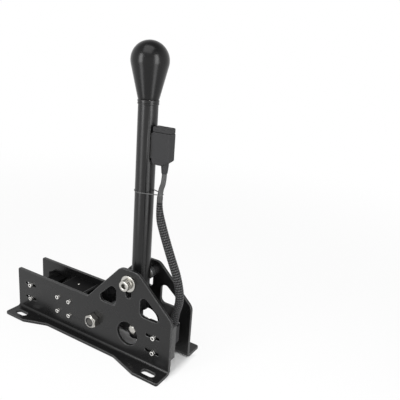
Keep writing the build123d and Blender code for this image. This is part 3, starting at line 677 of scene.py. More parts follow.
@dataclass(frozen=True)
class ToolMarked(Finish):
    """Bare metal with lines left by a tool or a die.

    Attributes:
        metallic: 1, since the metal is bare.
        stretch: How the noise is squeezed along X, Y and Z; small values draw it out.
        painted_shade: The dark colour that a recess is painted with, as painted shade.
    """

    metallic: float = 1.0
    stretch: tuple[float, float, float] = (1.0, 1.0, 0.05)
    painted_shade: Colour = (0.012, 0.011, 0.010)

    def wire(self, wiring: Wiring, shader: bpy.types.Node) -> None:
        """Joins the lines and the patches to the shader.

        Args:
            wiring: The material's wiring.
            shader: Its Principled BSDF.
        """
        place = wiring.place()
        inputs = {"Place": place, "Stretch": self.stretch, "Scale": self.grain}
        lines = wiring.node("ShaderNodeGroup", inputs, node_tree=Effects.scratches()).outputs
        inputs = {"Place": place, "Patch": self.patch}
        patches = wiring.node("ShaderNodeGroup", inputs, node_tree=Effects.speckle()).outputs
        self.surface(wiring, shader, lines["Lines"], patches["Patches"], lines["Height"])

    def mixed(self, wiring: Wiring, tone: bpy.types.NodeSocket) -> bpy.types.NodeSocket:
        """The metal's colour, mixed towards a dark colour where the attribute "tone" says so: painted
        shade in recesses.

        Args:
            wiring: The material's wiring.
            tone: Mask for the clean colour.

        Returns:
            The output that holds the colour.
        """
        # The attribute "tone" mixes in the dark colour: painted shade in recesses.
        share, first, second, result = 0, 6, 7, 2
        clean = super().mixed(wiring, tone)
        inputs = {share: wiring.attribute("tone"), first: clean, second: (*self.painted_shade, 1.0)}
        return wiring.node("ShaderNodeMix", inputs, data_type="RGBA").outputs[result]


@dataclass(frozen=True)
class Filament(Finish):
    """Strands of a braided sleeve: fine ridges along each strand, and a shade of its own from the
    attribute "tone", which holds painted highlight and painted shade.

    Attributes:
        ridges: Half the number of ridges over a strand's width.
    """

    ridges: float = 3.0

    def wire(self, wiring: Wiring, shader: bpy.types.Node) -> None:
        """Joins each strand's shade and ridges to the shader.

        A ridge is the cosine, without its sign, of pi times the ridges times the place across.

        Args:
            wiring: The material's wiring.
            shader: Its Principled BSDF.
        """
        shade_of = wiring.attribute("tone")
        swing = wiring.maths("MULTIPLY", wiring.attribute("across"), math.pi * self.ridges)
        height = wiring.maths("ABSOLUTE", wiring.maths("COSINE", swing))
        self.surface(wiring, shader, shade_of, shade_of, height)


class Finishes:
    """Every finish on the object.

    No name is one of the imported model's own materials, because a material is looked up by its name.
    """

    POWDER_COAT = Finish(
        "powder_coat_black", (0.006, 0.006, 0.0062), 0.28, grain=1400.0, depth=0.005, specular=0.38
    )
    # Lighter rounded edges: partly a thinner coat, partly painted highlight.
    EDGE_COAT_AND_HIGHLIGHT = Finish(
        "thin_coat_and_highlight_edge", (0.03, 0.03, 0.0305), 0.3, grain=900.0, depth=0.004, tone_spread=0.5
    )
    TUBE_COAT = Finish(
        "tube_coat_black", (0.004, 0.004, 0.0042), 0.3, grain=900.0, depth=0.003, specular=0.4
    )
    KNOB = Finish(
        "gloss_knob",
        (0.003, 0.003, 0.0032),
        0.23,
        grain=500.0,
        depth=0.002,
        rough_spread=0.03,
        specular=0.3,
    )
    BLOCK = Finish(
        "moulded_block", (0.005, 0.005, 0.0052), 0.5, grain=1800.0, depth=0.004, specular=0.05
    )
    BRIGHT = ToolMarked(
        "bright_steel", (0.5, 0.49, 0.46), 0.26, grain=1200.0, depth=0.003, tone_spread=0.15
    )
    ZINC = ToolMarked(
        "zinc_plated_steel", (0.8, 0.79, 0.76), 0.32, grain=1200.0, depth=0.003, tone_spread=0.1
    )
    ROLLED = ToolMarked(
        "rolled_steel", (0.5, 0.5, 0.51), 0.36, grain=700.0, depth=0.004, stretch=(0.03, 1.0, 1.0)
    )
    MILLED = ToolMarked(
        "milled_aluminium", (0.66, 0.67, 0.68), 0.33, grain=900.0, depth=0.004, stretch=(1.0, 0.04, 1.0)
    )
    SPRING = ToolMarked("spring_wire", (0.42, 0.42, 0.43), 0.3, grain=1500.0, depth=0.003)
    BRONZE = ToolMarked("bushing_bronze", (0.5, 0.33, 0.15), 0.35, grain=900.0, depth=0.003)
    BOX = Finish(
        "grained_box",
        (0.036, 0.036, 0.037),
        0.55,
        grain=3000.0,
        depth=0.012,
        tone_spread=0.15,
        specular=0.05,
    )
    SWITCH = Finish("moulded_switch", (0.02, 0.02, 0.02), 0.45, grain=2500.0, depth=0.006)
    PLUNGER = Finish("moulded_plunger", (0.35, 0.03, 0.02), 0.4, grain=2500.0, depth=0.003)
    MOUNT = Finish(
        "moulded_mount", (0.05, 0.05, 0.05), 0.5, grain=2500.0, depth=0.006, tone_spread=0.06
    )
    RUBBER = Finish("lead_rubber", (0.05, 0.05, 0.05), 0.55, grain=2500.0, depth=0.008, tone_spread=0.15)
    SHRINK = Finish("shrink_tube", (0.03, 0.03, 0.03), 0.5, grain=700.0, depth=0.06, tone_spread=0.15)
    # The attribute "tone" spreads this colour from near black to about twice as light: painted highlight
    # and shade on the strands, with a little random spread.
    FILAMENT = Filament(
        "braid_filament", (0.065, 0.065, 0.067), 0.4, depth=0.08, tone_spread=0.97, specular=0.2
    )
    # A near-black core under the strands: painted shade in the gaps between them.
    CORE_SHADE = Finish("braid_core_shade", (0.008, 0.008, 0.008), 0.7, grain=800.0, depth=0.02)
    TIE = Finish("tie_nylon", (0.07, 0.07, 0.07), 0.35, grain=2500.0, depth=0.004)
    FOAM = Finish("foam_pad", (0.02, 0.02, 0.02), 0.85, grain=2500.0, depth=0.06)
    # The nut's nylon insert, taken dark as painted shade inside the collar.
    NYLON_AND_SHADE = Finish("nylon_ring_and_shade", (0.06, 0.06, 0.065), 0.5, grain=2500.0, depth=0.004)


class Frame:
    """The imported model, with sizes in millimetres."""

    def __init__(self) -> None:
        """Loads the frame and keeps the box of the model as it was packed."""
        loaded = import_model()
        self.cad_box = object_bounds()
        self.nodes: dict[str, bpy.types.Object] = loaded["nodes"]
        record = loaded["record"]
        self.slots = {part["node"]: part["material_slot"] for part in record["subparts"]}
        bodies = record["behaviour"]["bodies"]
        self.body_of = {node: Body(body) for body, members in bodies.items() for node in members}

    def low(self, node: str) -> Array:
        """A node's lowest corner."""
        return np.array(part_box(node)[0]) / MM

    def high(self, node: str) -> Array:
        """A node's highest corner."""
        return np.array(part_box(node)[1]) / MM

    def middle(self, node: str) -> Array:
        """The middle of a node's box."""
        return (self.low(node) + self.high(node)) / 2

    def size(self, node: str) -> Array:
        """The lengths of a node's box."""
        return self.high(node) - self.low(node)

    def settle(
        self,
        piece: bpy.types.Object,
        finish: Finish,
        node: str,
        extra: bool = False,
        rides: bool = True,
    ) -> bpy.types.Object:
        """Finishes a new piece and puts it on the body of a CAD node.

        Args:
            piece: The new piece.
            finish: Its finish.
            node: The CAD node that it stands for, or belongs with.
            extra: True where it doesn't stand for the node.
            rides: False where it is left off every body.

        Returns:
            The piece.
        """
        piece.data.materials.clear()
        piece.data.materials.append(finish.material())
        if rides:
            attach(piece, self.body_of[node].value)
        if not extra:
            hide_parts(node)
        LOG.info("%s: %s, %d faces", piece.name, finish.name, len(piece.data.polygons))
        return piece

    def fit(
        self, shape: Surface, name: str, finish: Finish, node: str, extra: bool = False
    ) -> bpy.types.Object:
        """Makes a shape a finished piece on the body of a CAD node.

        Args:
            shape: The shape.
            name: The new piece's name.
            finish: Its finish.
            node: The CAD node that it stands for, or belongs with.
            extra: True where it doesn't stand for the node.

        Returns:
            The piece.
        """
        return self.settle(shape.to_object(name), finish, node, extra)


@dataclass(frozen=True)
class RoundedNode:
    """A CAD node's shape with its sharp edges rounded as the real piece's are.

    Attributes:
        node: The CAD node.
        name: The new piece's name.
        finish: Its finish.
        edge: How far the rounding reaches from each edge.
        segments: Faces across the rounding.
        edge_coat_and_highlight: The lighter finish of the rounded edges, partly a thinner coat and
            partly painted highlight, or None where it is the same.
        weld: Corners that are nearer than this become one.
        flat_angle: Faces that turn less than this many degrees become one.
        sharp_angle: Edges that turn more than this many degrees are rounded.
    """

    node: str
    name: str
    finish: Finish
    edge: float = 0.25
    segments: int = 2
    edge_coat_and_highlight: Finish | None = None
    weld: float = 0.0005
    flat_angle: float = 0.4
    sharp_angle: float = 28.0

    def build(self, frame: Frame) -> bpy.types.Object:
        """Builds the rounded copy and puts it in the node's place.

        The loose triangles are merged by their rounded corners, flat faces are dissolved into one, and
        a bevel rounds the edges that are left.

        Args:
            frame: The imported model.

        Returns:
            The new piece.
        """
        source = frame.nodes[self.node].data
        source.calc_loop_triangles()
        corners = np.zeros(len(source.vertices) * 3, np.float32)
        source.vertices.foreach_get("co", corners)
        corners = corners.reshape(-1, 3)
        faces = np.zeros(len(source.loop_triangles) * 3, np.int32)
        source.loop_triangles.foreach_get("vertices", faces)
        cells = np.round(corners.astype(float) / MM / self.weld).astype(np.int64)
        _, first, number = np.unique(cells, axis=0, return_index=True, return_inverse=True)
        faces = number.ravel()[faces].reshape(-1, 3)
        whole = (faces != np.roll(faces, -1, axis=1)).all(axis=1)
        mesh = bpy.data.meshes.new(self.name)
        mesh.from_pydata(corners[first].tolist(), [], faces[whole].tolist())
        work = bmesh.new()
        work.from_mesh(mesh)
        flat = math.radians(self.flat_angle)
        bmesh.ops.dissolve_limit(work, angle_limit=flat, verts=work.verts, edges=work.edges)
        work.to_mesh(mesh)
        work.free()
        shade(mesh, 180.0)
        piece = linked(self.name, mesh)
        rounding = piece.modifiers.new("rounded_edges", "BEVEL")
        rounding.width = self.edge * MM
        rounding.segments = self.segments
        rounding.limit_method = "ANGLE"
        rounding.angle_limit = math.radians(self.sharp_angle)
        rounding.use_clamp_overlap = False
        rounding.harden_normals = True
        frame.settle(piece, self.finish, self.node)
        # The rounded edges get the lighter finish: painted highlight along the edges.
        if self.edge_coat_and_highlight:
            piece.data.materials.append(self.edge_coat_and_highlight.material())
            rounding.material = 1
        return piece


@dataclass
class Framework:
    """The folded side plates and the plain pieces between and on them.

    Attributes:
        frame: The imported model.
        rounded: The pieces that keep their CAD node's shape.
        near_leg: Thickness of the rear mount's leg at the near plate.
        far_leg: Thickness of its leg at the far plate.
        far_start: How far the far leg's rear end stands in from the near leg's.
        far_rise: How far the far leg stands above the bridge.
        far_cover: How far the far leg runs on beyond the bridge's rear edge.
        bridge_forward: How far forward of the solid's two ends the bridge starts and ends.
        bridge_drop: How far the bridge's top lies below the solid's.
        bridge_thickness: Thickness of the bridge.
        mount_gap: Space between the mount and each plate.
        mount_corner: Radius of its upright corners.
        mount_rim: Radius of its rims.
    """

    frame: Frame
    rounded: tuple[RoundedNode, ...] = (
        RoundedNode(
            "side_plate_near", "folded_plate_near", Finishes.POWDER_COAT, 0.8, 3, Finishes.EDGE_COAT_AND_HIGHLIGHT
        ),
        RoundedNode(
            "side_plate_far", "folded_plate_far", Finishes.POWDER_COAT, 0.8, 3, Finishes.EDGE_COAT_AND_HIGHLIGHT
        ),
        RoundedNode("guide_block", "moulded_guide_block", Finishes.BLOCK, 0.7, 3, Finishes.EDGE_COAT_AND_HIGHLIGHT),
        RoundedNode("rod_bushing", "bronze_bushing", Finishes.BRONZE, 0.2),
        RoundedNode("pivot_spacers", "turned_pivot_spacers", Finishes.MILLED, 0.25),
        RoundedNode("cross_sleeves", "turned_cross_sleeves", Finishes.MILLED, 0.25),
        RoundedNode("front_switch_mount", "moulded_front_mount", Finishes.MOUNT, 0.3),
        RoundedNode("terminal_housing", "moulded_terminal_housing", Finishes.MOUNT, 0.3),
        RoundedNode("cable_gland", "moulded_cable_gland", Finishes.BOX, 0.3),
        RoundedNode("lever_tube", "coated_lever_tube", Finishes.TUBE_COAT, 0.25),
        RoundedNode("lever_fork", "turned_lever_fork", Finishes.TUBE_COAT, 0.3),
        RoundedNode("pivot_hub", "turned_pivot_hub", Finishes.BRIGHT, 0.2),
        RoundedNode("knob_stud", "turned_knob_stud", Finishes.BRIGHT, 0.2),
        RoundedNode("box_pad", "foam_box_pad", Finishes.FOAM, 0.15),
        RoundedNode("controller_box", "moulded_controller_box", Finishes.BOX, 0.7, 3),
        RoundedNode("controller_cap", "moulded_controller_cap", Finishes.BOX, 0.5, 3),
        RoundedNode("link_bar", "steel_link_bar", Finishes.ROLLED, 0.35),
        RoundedNode("push_rod", "steel_push_rod", Finishes.ROLLED, 0.25),
        RoundedNode("rear_collar", "turned_rear_collar", Finishes.BRIGHT, 0.2),
        RoundedNode("striker", "moulded_striker", Finishes.SWITCH, 0.2),
        RoundedNode("front_switch", "snap_switch_front", Finishes.SWITCH, 0.12),
        RoundedNode("rear_switch", "snap_switch_rear", Finishes.SWITCH, 0.12),
        RoundedNode("front_plunger", "switch_plunger_front", Finishes.PLUNGER, 0.1),
        RoundedNode("rear_plunger", "switch_plunger_rear", Finishes.PLUNGER, 0.1),
    )
    near_leg: float = 11.3
    far_leg: float = 6.6
    far_start: float = 4.5
    far_rise: float = 1.5
    far_cover: float = 9.0
    bridge_forward: float = 12.0
    bridge_drop: float = 8.0
    bridge_thickness: float = 3.2
    mount_gap: float = 0.2
    mount_corner: float = 1.0
    mount_rim: float = 0.6

    def build(self) -> None:
        """Builds every rounded piece and the rear mount."""
        for piece in self.rounded:
            piece.build(self.frame)
        self.rear_mount()

    def rear_mount(self) -> None:
        """The rear switch mount: a leg along each plate and a bridge over the switch between them."""
        node = "rear_switch_mount"
        (rear, side, foot), (front, _, crown) = self.frame.low(node), self.frame.high(node)
        inner = -side - self.mount_gap
        top = crown - self.bridge_drop
        under = top - self.bridge_thickness
        split = rear + self.bridge_forward
        near = self.near_leg - inner
        far = inner - self.far_leg
        blocks = (
            ((rear, -inner, foot), (split, near, top)),
            ((split, -inner, foot), (front, near, under)),
            ((rear + self.far_start, far, foot), (split + self.far_cover, inner, top + self.far_rise)),
            ((split, -inner, under), (front + self.bridge_forward, inner, top)),
        )
        parts = [slab(low, high, self.mount_corner, self.mount_rim) for low, high in blocks]
        self.frame.fit(Surface.joined(parts), "moulded_rear_mount", Finishes.BLOCK, node)


@dataclass(frozen=True)
class Shank:
    """A screw's shank on the Z axis, from its tip below up to zero.

    Attributes:
        radius: Its radius.
        length: Its length.
        threaded: Length of the thread from the tip.
        pitch: Pitch of the thread.
        steps: Steps along the thread.
        tip: How far above the tip the thread starts.
        runout: How far the last groove runs out.
        point: Radius of the first ring, as a share of the shank's.
        painted_shade: How dark the tip is, from 0 to 1, as painted shade.
        groove: Depth of the thread in pitches.
    """

    radius: float
    length: float
    threaded: float
    pitch: float
    steps: int
    tip: float = 0.4
    runout: float = 0.2
    point: float = 0.5
    painted_shade: float = 0.0
    groove: float = 0.6

    def rings(self) -> list[Ring]:
        """The shank, with the thread's steps evenly spaced.

        Returns:
            The rings from the tip up.
        """
        depth = self.groove * self.pitch
        run = self.threaded - self.tip
        # The tip's two rings carry painted shade.
        return [
            Ring(-self.length, self.radius * self.point, painted_shade=self.painted_shade),
            Ring(-self.length, self.radius - depth, painted_shade=self.painted_shade),
            *[
                Ring(-self.length + self.tip + run * step / self.steps, self.radius, thread=depth)
                for step in range(self.steps + 1)
            ],
            Ring(-self.length + self.threaded + self.runout, self.radius),
            Ring(0.0, self.radius),
        ]


@dataclass(frozen=True)
class CapScrew:
    """A socket cap screw, with its head up the Z axis and the underside of the head at zero.

    Attributes:
        diameter: Diameter of the shank.
        head: Diameter of the head.
        height: Height of the head.
        key: Width over flats of the socket.
        length: Length of the shank.
        pitch: Pitch of the thread.
        threaded: Length of the thread from the tip.
        socket_shade: How dark the socket is, from 0 to 1, as painted shade.
        knurls: Ridges round the head.
        steps_per_pitch: Steps along one pitch of the thread.
        rim_share: Size of the head's rounded rims, as a share of its height.
        knurl_share: Depth of the knurling, as a share of the head's radius.
    """

    diameter: float
    head: float
    height: float
    key: float
    length: float
    pitch: float
    threaded: float
    socket_shade: float = 0.95
    knurls: int = 24
    steps_per_pitch: int = 4
    rim_share: float = 0.08
    knurl_share: float = 0.05

    def surface(self) -> Surface:
        """The whole screw, its head a ring with knurling and a hexagon socket.

        Returns:
            The screw from the tip of its shank to the floor of its socket.
        """
        head, key, top = self.head / 2, self.key / 2, self.height
        rim = self.rim_share * top
        knurl = self.knurl_share * head
        steps = max(2, int(self.threaded / self.pitch * self.steps_per_pitch))
        # The socket's rings are darkened: painted shade in the socket.
        rings = [
            *Shank(self.diameter / 2, self.length, self.threaded, self.pitch, steps).rings(),
            Ring(0.0, head - rim),
            Ring(rim, head),
            Ring(rim * 1.6, head, knurl=knurl),
            Ring(top * 0.72, head, knurl=knurl),
            Ring(top * 0.78, head),
            Ring(top - 1.4 * rim, head),
            Ring(top - 0.4 * rim, head - 0.5 * rim),
            Ring(top, head - 1.5 * rim),
            Ring(top, key * 1.28),
            Ring(top - 0.6 * rim, key * 1.04, hexagon=0.9, painted_shade=0.5 * self.socket_shade),
            Ring(top - 1.5 * rim, key, hexagon=1.0, painted_shade=self.socket_shade),
            Ring(top * 0.45, key, hexagon=1.0, painted_shade=self.socket_shade),
            Ring(top * 0.38, key * 0.5, painted_shade=0.1 * self.socket_shade),
        ]
        return turned(rings, knurls=self.knurls, pitch=self.pitch)


@dataclass(frozen=True)
class HexPiece:
    """A nut, or a bolt's head with its shank, on the Z axis from zero up.

    Attributes:
        flats: Width over flats.
        height: Height of the hexagon.
        bore: Diameter of the thread, or of the shank.
        collar: Height of a lock nut's round collar above the hexagon.
        shank: Length of a bolt's shank below zero; 0 for a nut.
        pitch: Pitch of the thread.
        face: Radius of the hexagon's round end faces, as a share of half its flats.
        cone: Slope of the cone that cuts the corners, in degrees.
        lip: Radius inside the collar, as a share of half the flats.
        seat: How deep the collar is inside, as a share of its height.
        chamfer: Size of the bore's chamfers.
        thread_end: Longest thread of a bolt.
    """

    flats: float
    height: float
    bore: float
    collar: float = 0.0
    shank: float = 0.0
    pitch: float = 1.25
    face: float = 0.96
    cone: float = 30.0
    lip: float = 0.74
    seat: float = 0.8
    chamfer: float = 0.6
    thread_end: float = 16.0

    def hexagon(self) -> list[Ring]:
        """The hexagon, with its corners cut to a cone at both ends.

        Returns:
            Its rings from zero up.
        """
        half, corner = self.flats / 2, self.flats / math.sqrt(3)
        face = half * self.face
        spare = corner - face
        cut = spare * math.tan(math.radians(self.cone))
        share = np.linspace(0.0, 1.0, 6)
        lower = [Ring(cut * t, half, 1.0, limit=face + spare * t) for t in share]
        upper = [Ring(self.height - cut * (1 - t), half, 1.0, limit=corner - spare * t) for t in share]
        return lower + upper

    def nut(self) -> Surface:
        """A ring of the hexagon, its collar if it has one, and the bore.

        Returns:
            The nut.
        """
        half, bore = self.flats / 2, self.bore / 2
        top = self.height + self.collar
        rings = self.hexagon()
        # The inside of the collar and the bore's mouth are darkened: painted shade.
        floor, mouth = top, bore + self.chamfer
        if self.collar:
            floor, mouth = top - self.seat * self.collar, bore
            rings += [
                Ring(self.height, half * 0.93),
                Ring(top - 0.45 * self.collar, half * 0.92),
                Ring(top - 0.15 * self.collar, half * 0.87),
                Ring(top, half * 0.80),
                Ring(top - 0.02 * self.collar, half * 0.76),
                Ring(top - 0.3 * self.collar, half * self.lip, painted_shade=0.8),
                Ring(floor, half * self.lip, painted_shade=0.9),
            ]
        rings += [Ring(floor, mouth, painted_shade=0.9), Ring(self.chamfer, bore)]
        rings.append(Ring(0.0, bore + self.chamfer))
        return turned(rings, closed_loop=True)

    def insert(self) -> Surface:
        """The soft ring inside a lock nut's collar, which grips the thread.

        Returns:
            The ring.
        """
        gap, share, level = 0.05, 0.6, 0.85
        thickness = share * self.collar
        lift = self.height + level * self.collar - thickness
        ring = washer(self.bore + 2 * gap, self.flats * self.lip - gap, thickness)
        return replace(ring, points=ring.points + np.array([0.0, 0.0, lift]))

    def bolt(self) -> Surface:
        """The hexagon as a head, with a shank below it whose end is threaded.

        Returns:
            The bolt.
        """
        threaded = min(self.shank * 0.5, self.thread_end)
        # The shank's tip is darkened: painted shade.
        shank = Shank(
            self.bore / 2,
            self.shank,
            threaded,
            self.pitch,
            steps=60,
            tip=0.6,
            runout=0.3,
            point=0.4,
            painted_shade=0.8,
        )
        rings = [*shank.rings(), *self.hexagon(), Ring(self.height, self.flats * 0.2)]
        return turned(rings, pitch=self.pitch)


def washer(inner: float, outer: float, thickness: float) -> Surface:
    """A flat washer on the Z axis from zero up, with rounded rims.

    Its section goes round from the hole's lower rim: over each rim it steps in by the rim's size, and
    by three tenths of that at the middle step.

    Args:
        inner: Diameter of the hole.
        outer: Outer diameter.
        thickness: Thickness.

    Returns:
        The washer.
    """
    rim = 0.25 * thickness
    steps = ((rim, 0.0), (0.3 * rim, 0.3 * rim), (0.0, rim))
    hole, edge = inner / 2, outer / 2
    rings = [
        *[Ring(height, hole + inset) for height, inset in steps],
        *[Ring(height, edge - inset) for height, inset in steps[::-1]],
        *[Ring(thickness - height, edge - inset) for height, inset in steps],
        *[Ring(thickness - height, hole + inset) for height, inset in steps[::-1]],
    ]
    return turned(rings, closed_loop=True)


@dataclass
class Fasteners:
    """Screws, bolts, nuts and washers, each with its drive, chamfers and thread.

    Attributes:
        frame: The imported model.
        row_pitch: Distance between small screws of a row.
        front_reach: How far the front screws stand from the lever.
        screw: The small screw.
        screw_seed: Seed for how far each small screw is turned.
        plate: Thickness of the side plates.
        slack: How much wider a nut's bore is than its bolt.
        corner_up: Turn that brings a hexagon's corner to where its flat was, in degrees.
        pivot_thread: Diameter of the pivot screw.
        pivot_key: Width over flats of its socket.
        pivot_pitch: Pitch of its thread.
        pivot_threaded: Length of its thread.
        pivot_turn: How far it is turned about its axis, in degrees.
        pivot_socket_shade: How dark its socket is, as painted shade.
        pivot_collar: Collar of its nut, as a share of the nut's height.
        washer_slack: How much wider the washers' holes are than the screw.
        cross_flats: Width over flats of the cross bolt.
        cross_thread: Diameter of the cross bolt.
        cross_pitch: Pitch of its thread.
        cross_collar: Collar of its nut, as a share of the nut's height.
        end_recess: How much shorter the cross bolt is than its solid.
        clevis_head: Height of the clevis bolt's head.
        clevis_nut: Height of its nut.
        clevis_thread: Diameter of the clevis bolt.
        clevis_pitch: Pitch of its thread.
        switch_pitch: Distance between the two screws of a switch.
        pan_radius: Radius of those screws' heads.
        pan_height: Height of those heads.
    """

    frame: Frame
    row_pitch: float = 20.0
    front_reach: float = 39.0
    screw: CapScrew = CapScrew(3.0, 5.5, 3.0, 2.5, 9.9, 0.5, 6.0)
    screw_seed: int = 7
    plate: float = 4.0
    slack: float = 0.1
    corner_up: float = 30.0
    pivot_thread: float = 8.0
    pivot_key: float = 6.0
    pivot_pitch: float = 1.25
    pivot_threaded: float = 22.0
    pivot_turn: float = 12.0
    pivot_socket_shade: float = 0.5
    pivot_collar: float = 0.3
    washer_slack: float = 0.4
    cross_flats: float = 16.0
    cross_thread: float = 10.0
    cross_pitch: float = 1.5
    cross_collar: float = 0.14
    end_recess: float = 2.6
    clevis_head: float = 4.0
    clevis_nut: float = 5.0
    clevis_thread: float = 6.0
    clevis_pitch: float = 1.0
    switch_pitch: float = 9.5
    pan_radius: float = 2.2
    pan_height: float = 1.4

    def build(self) -> None:
        """Builds all fasteners and puts them in their nodes' places."""
        self.plate_screws()
        self.pivot()
        self.cross()
        self.bushing_screw()
        self.clevis()
        self.switch_screws()

    def plate_screws(self) -> None:
        """Fourteen small socket cap screws in rows, six of them from the far side."""
        frame = self.frame
        half = self.row_pitch / 2
        line = frame.middle("cross_bolt")[2]
        guide = frame.middle("guide_block")[0]
        rear = frame.middle("rear_switch_mount")[0]
        front = frame.middle("lever_tube")[0] + self.front_reach
        outer = -frame.low("plate_screws")[1] - self.screw.height
        columns = (guide - half, guide + half, rear, front)
        near = [((x, -outer, z), Heading.NEAR) for x in columns for z in (line - half, line + half)]
        far = [((x, outer, z), Heading.FAR) for x in columns[:3] for z in (line - half, line + half)]
        spins = np.random.default_rng(self.screw_seed).uniform(0.0, 60.0, len(near) + len(far))
        shape = self.screw.surface()
        parts = [shape.placed(spot, way, spin) for (spot, way), spin in zip(near + far, spins)]
        frame.fit(Surface.joined(parts), "socket_screws", Finishes.ZINC, "plate_screws")

    def lock_nut(
        self, nut: HexPiece, names: tuple[str, str], node: str, spot: Point, way: Heading, spin: float
    ) -> None:
        """A nut and the soft ring in its collar.

        Args:
            nut: The nut.
            names: The name of the nut and of the ring.
            node: The CAD node.
            spot: Where the nut's underside is.
            way: Where its collar points.
            spin: Turn about its axis, in degrees.
        """
        frame = self.frame
        frame.fit(nut.nut().placed(spot, way, spin), names[0], Finishes.BRIGHT, node)
        frame.fit(nut.insert().placed(spot, way), names[1], Finishes.NYLON_AND_SHADE, node, extra=True)

    def pivot(self) -> None:
        """The pivot screw with its two washers and its lock nut."""
        frame = self.frame
        low, high = frame.low("pivot_bolt"), frame.high("pivot_bolt")
        x, _, z = frame.middle("pivot_bolt")
        outer = frame.high("pivot_washers")[1]
        # The pivot screw's socket gets painted shade, lighter than the small screws'.
        screw = CapScrew(
            diameter=self.pivot_thread,
            head=frame.size("pivot_bolt")[0],
            height=-outer - low[1],
            key=self.pivot_key,
            length=high[1] + outer,
            pitch=self.pivot_pitch,
            threaded=self.pivot_threaded,
            socket_shade=self.pivot_socket_shade,
        )
        shape = screw.surface().placed((x, -outer, z), Heading.NEAR, self.pivot_turn)
        frame.fit(shape, "pivot_screw", Finishes.BRIGHT, "pivot_bolt")
        thick = outer - frame.high("cross_sleeves")[1] - self.plate
        ring = washer(self.pivot_thread + self.washer_slack, frame.size("pivot_washers")[0], thick)
        rings = [
            ring.placed((x, -outer + thick, z), Heading.NEAR),
            ring.placed((x, outer - thick, z), Heading.FAR),
        ]
        frame.fit(Surface.joined(rings), "washer_pair", Finishes.BRIGHT, "pivot_washers")
        _, tall, flats = frame.size("pivot_nut")
        bore = self.pivot_thread + self.slack
        lock = HexPiece(flats, tall * (1.0 - self.pivot_collar), bore, collar=tall * self.pivot_collar)
        names = ("pivot_lock_nut", "pivot_nut_insert")
        self.lock_nut(lock, names, "pivot_nut", (x, outer, z), Heading.FAR, self.corner_up)

    def cross(self) -> None:
        """The bolt through both plates, its head on the far side, and its nut."""
        frame = self.frame
        x, _, z = frame.middle("cross_bolt")
        low, high = frame.low("cross_bolt"), frame.high("cross_bolt")
        outer = -frame.high("cross_nut")[1]
        bolt = HexPiece(
            self.cross_flats,
            high[1] - outer,
            self.cross_thread,
            shank=outer - low[1] - self.end_recess,
            pitch=self.cross_pitch,
        )
        shape = bolt.bolt().placed((x, outer, z), Heading.FAR, self.corner_up)
        frame.fit(shape, "hex_bolt", Finishes.BRIGHT, "cross_bolt")
        tall = frame.size("cross_nut")[1]
        nut = HexPiece(
            self.cross_flats,
            tall * (1.0 - self.cross_collar),
            self.cross_thread + self.slack,
            collar=tall * self.cross_collar,
            pitch=self.cross_pitch,
        )
        names = ("hex_nut", "hex_nut_insert")
        self.lock_nut(nut, names, "cross_nut", (x, -outer, z), Heading.NEAR, 0.0)

    def bushing_screw(self) -> None:
        """A small button head screw in the top of the guide block, which holds the rod's bushing."""
        frame = self.frame
        shank, head, tall, key, foot, rim, aside = 1.2, 1.7, 1.1, 0.5, -6.0, 0.2, 4.0
        dome = [
            Ring(rim + (tall - rim) * math.sin(a), key + (head - key) * math.cos(a))
            for a in np.linspace(0.0, QUARTER, 7)
        ]
        # The socket's floor is darkened: painted shade.
        rings = [
            Ring(foot, shank * 0.5),
            Ring(foot, shank),
            Ring(0.0, shank),
            Ring(0.0, head),
            *dome,
            Ring(0.5, key * 0.9, hexagon=1.0, painted_shade=0.9),
        ]
        spot = (frame.middle("guide_block")[0], aside, frame.high("guide_block")[2])
        shape = turned(rings, columns=48).placed(spot, Heading.UP)
        frame.fit(shape, "bushing_screw", Finishes.BRIGHT, "plate_screws", extra=True)

    def clevis(self) -> None:
        """The small bolt and nut that pin the link in the fork of the lever."""
        frame = self.frame
        x, _, z = frame.middle("clevis_bolt")
        low, high = frame.low("clevis_bolt"), frame.high("clevis_bolt")
        seat = low[1] + self.clevis_head
        flats, pitch = frame.size("clevis_bolt")[2], self.clevis_pitch
        bolt = HexPiece(flats, self.clevis_head, self.clevis_thread, shank=high[1] - seat, pitch=pitch)
        shape = bolt.bolt().placed((x, seat, z), Heading.NEAR, self.corner_up)
        frame.fit(shape, "fork_bolt", Finishes.BRIGHT, "clevis_bolt")
        nut = HexPiece(flats, self.clevis_nut, self.clevis_thread + self.slack, pitch=pitch)
        start = frame.low("clevis_nut")[1]
        shape = nut.nut().placed((x, start, z), Heading.FAR, self.corner_up)
        frame.fit(shape, "fork_nut", Finishes.BRIGHT, "clevis_nut")

    def switch_screws(self) -> None:
        """Four pan head screws with a hexagon socket, two through each switch."""
        frame = self.frame
        low, high = frame.low("switch_screws"), frame.high("switch_screws")
        line = frame.middle("cross_bolt")[2]
        radius, tall, half = self.pan_radius, self.pan_height, self.switch_pitch / 2
        foot, tip, shank = -6.4, 0.7, 1.1
        rings = [
            Ring(foot, tip),
            Ring(foot, shank),
            Ring(0.0, shank),
            Ring(0.0, radius - 0.1),
            Ring(0.5, radius),
            Ring(1.0, radius - 0.3),
            Ring(tall, 1.2),
            Ring(tall, 0.8),
            Ring(tall / 2, 0.6, hexagon=1.0),
        ]
        shape = turned(rings, columns=36)
        columns = (low[0] + radius, high[0] - radius)
        places = [(x, z) for x in columns for z in (line - half, line + half)]
        parts = [shape.placed((x, high[1] - tall, z), Heading.FAR, 10.0 * z) for x, z in places]
        frame.fit(Surface.joined(parts), "pan_screws", Finishes.BRIGHT, "switch_screws")


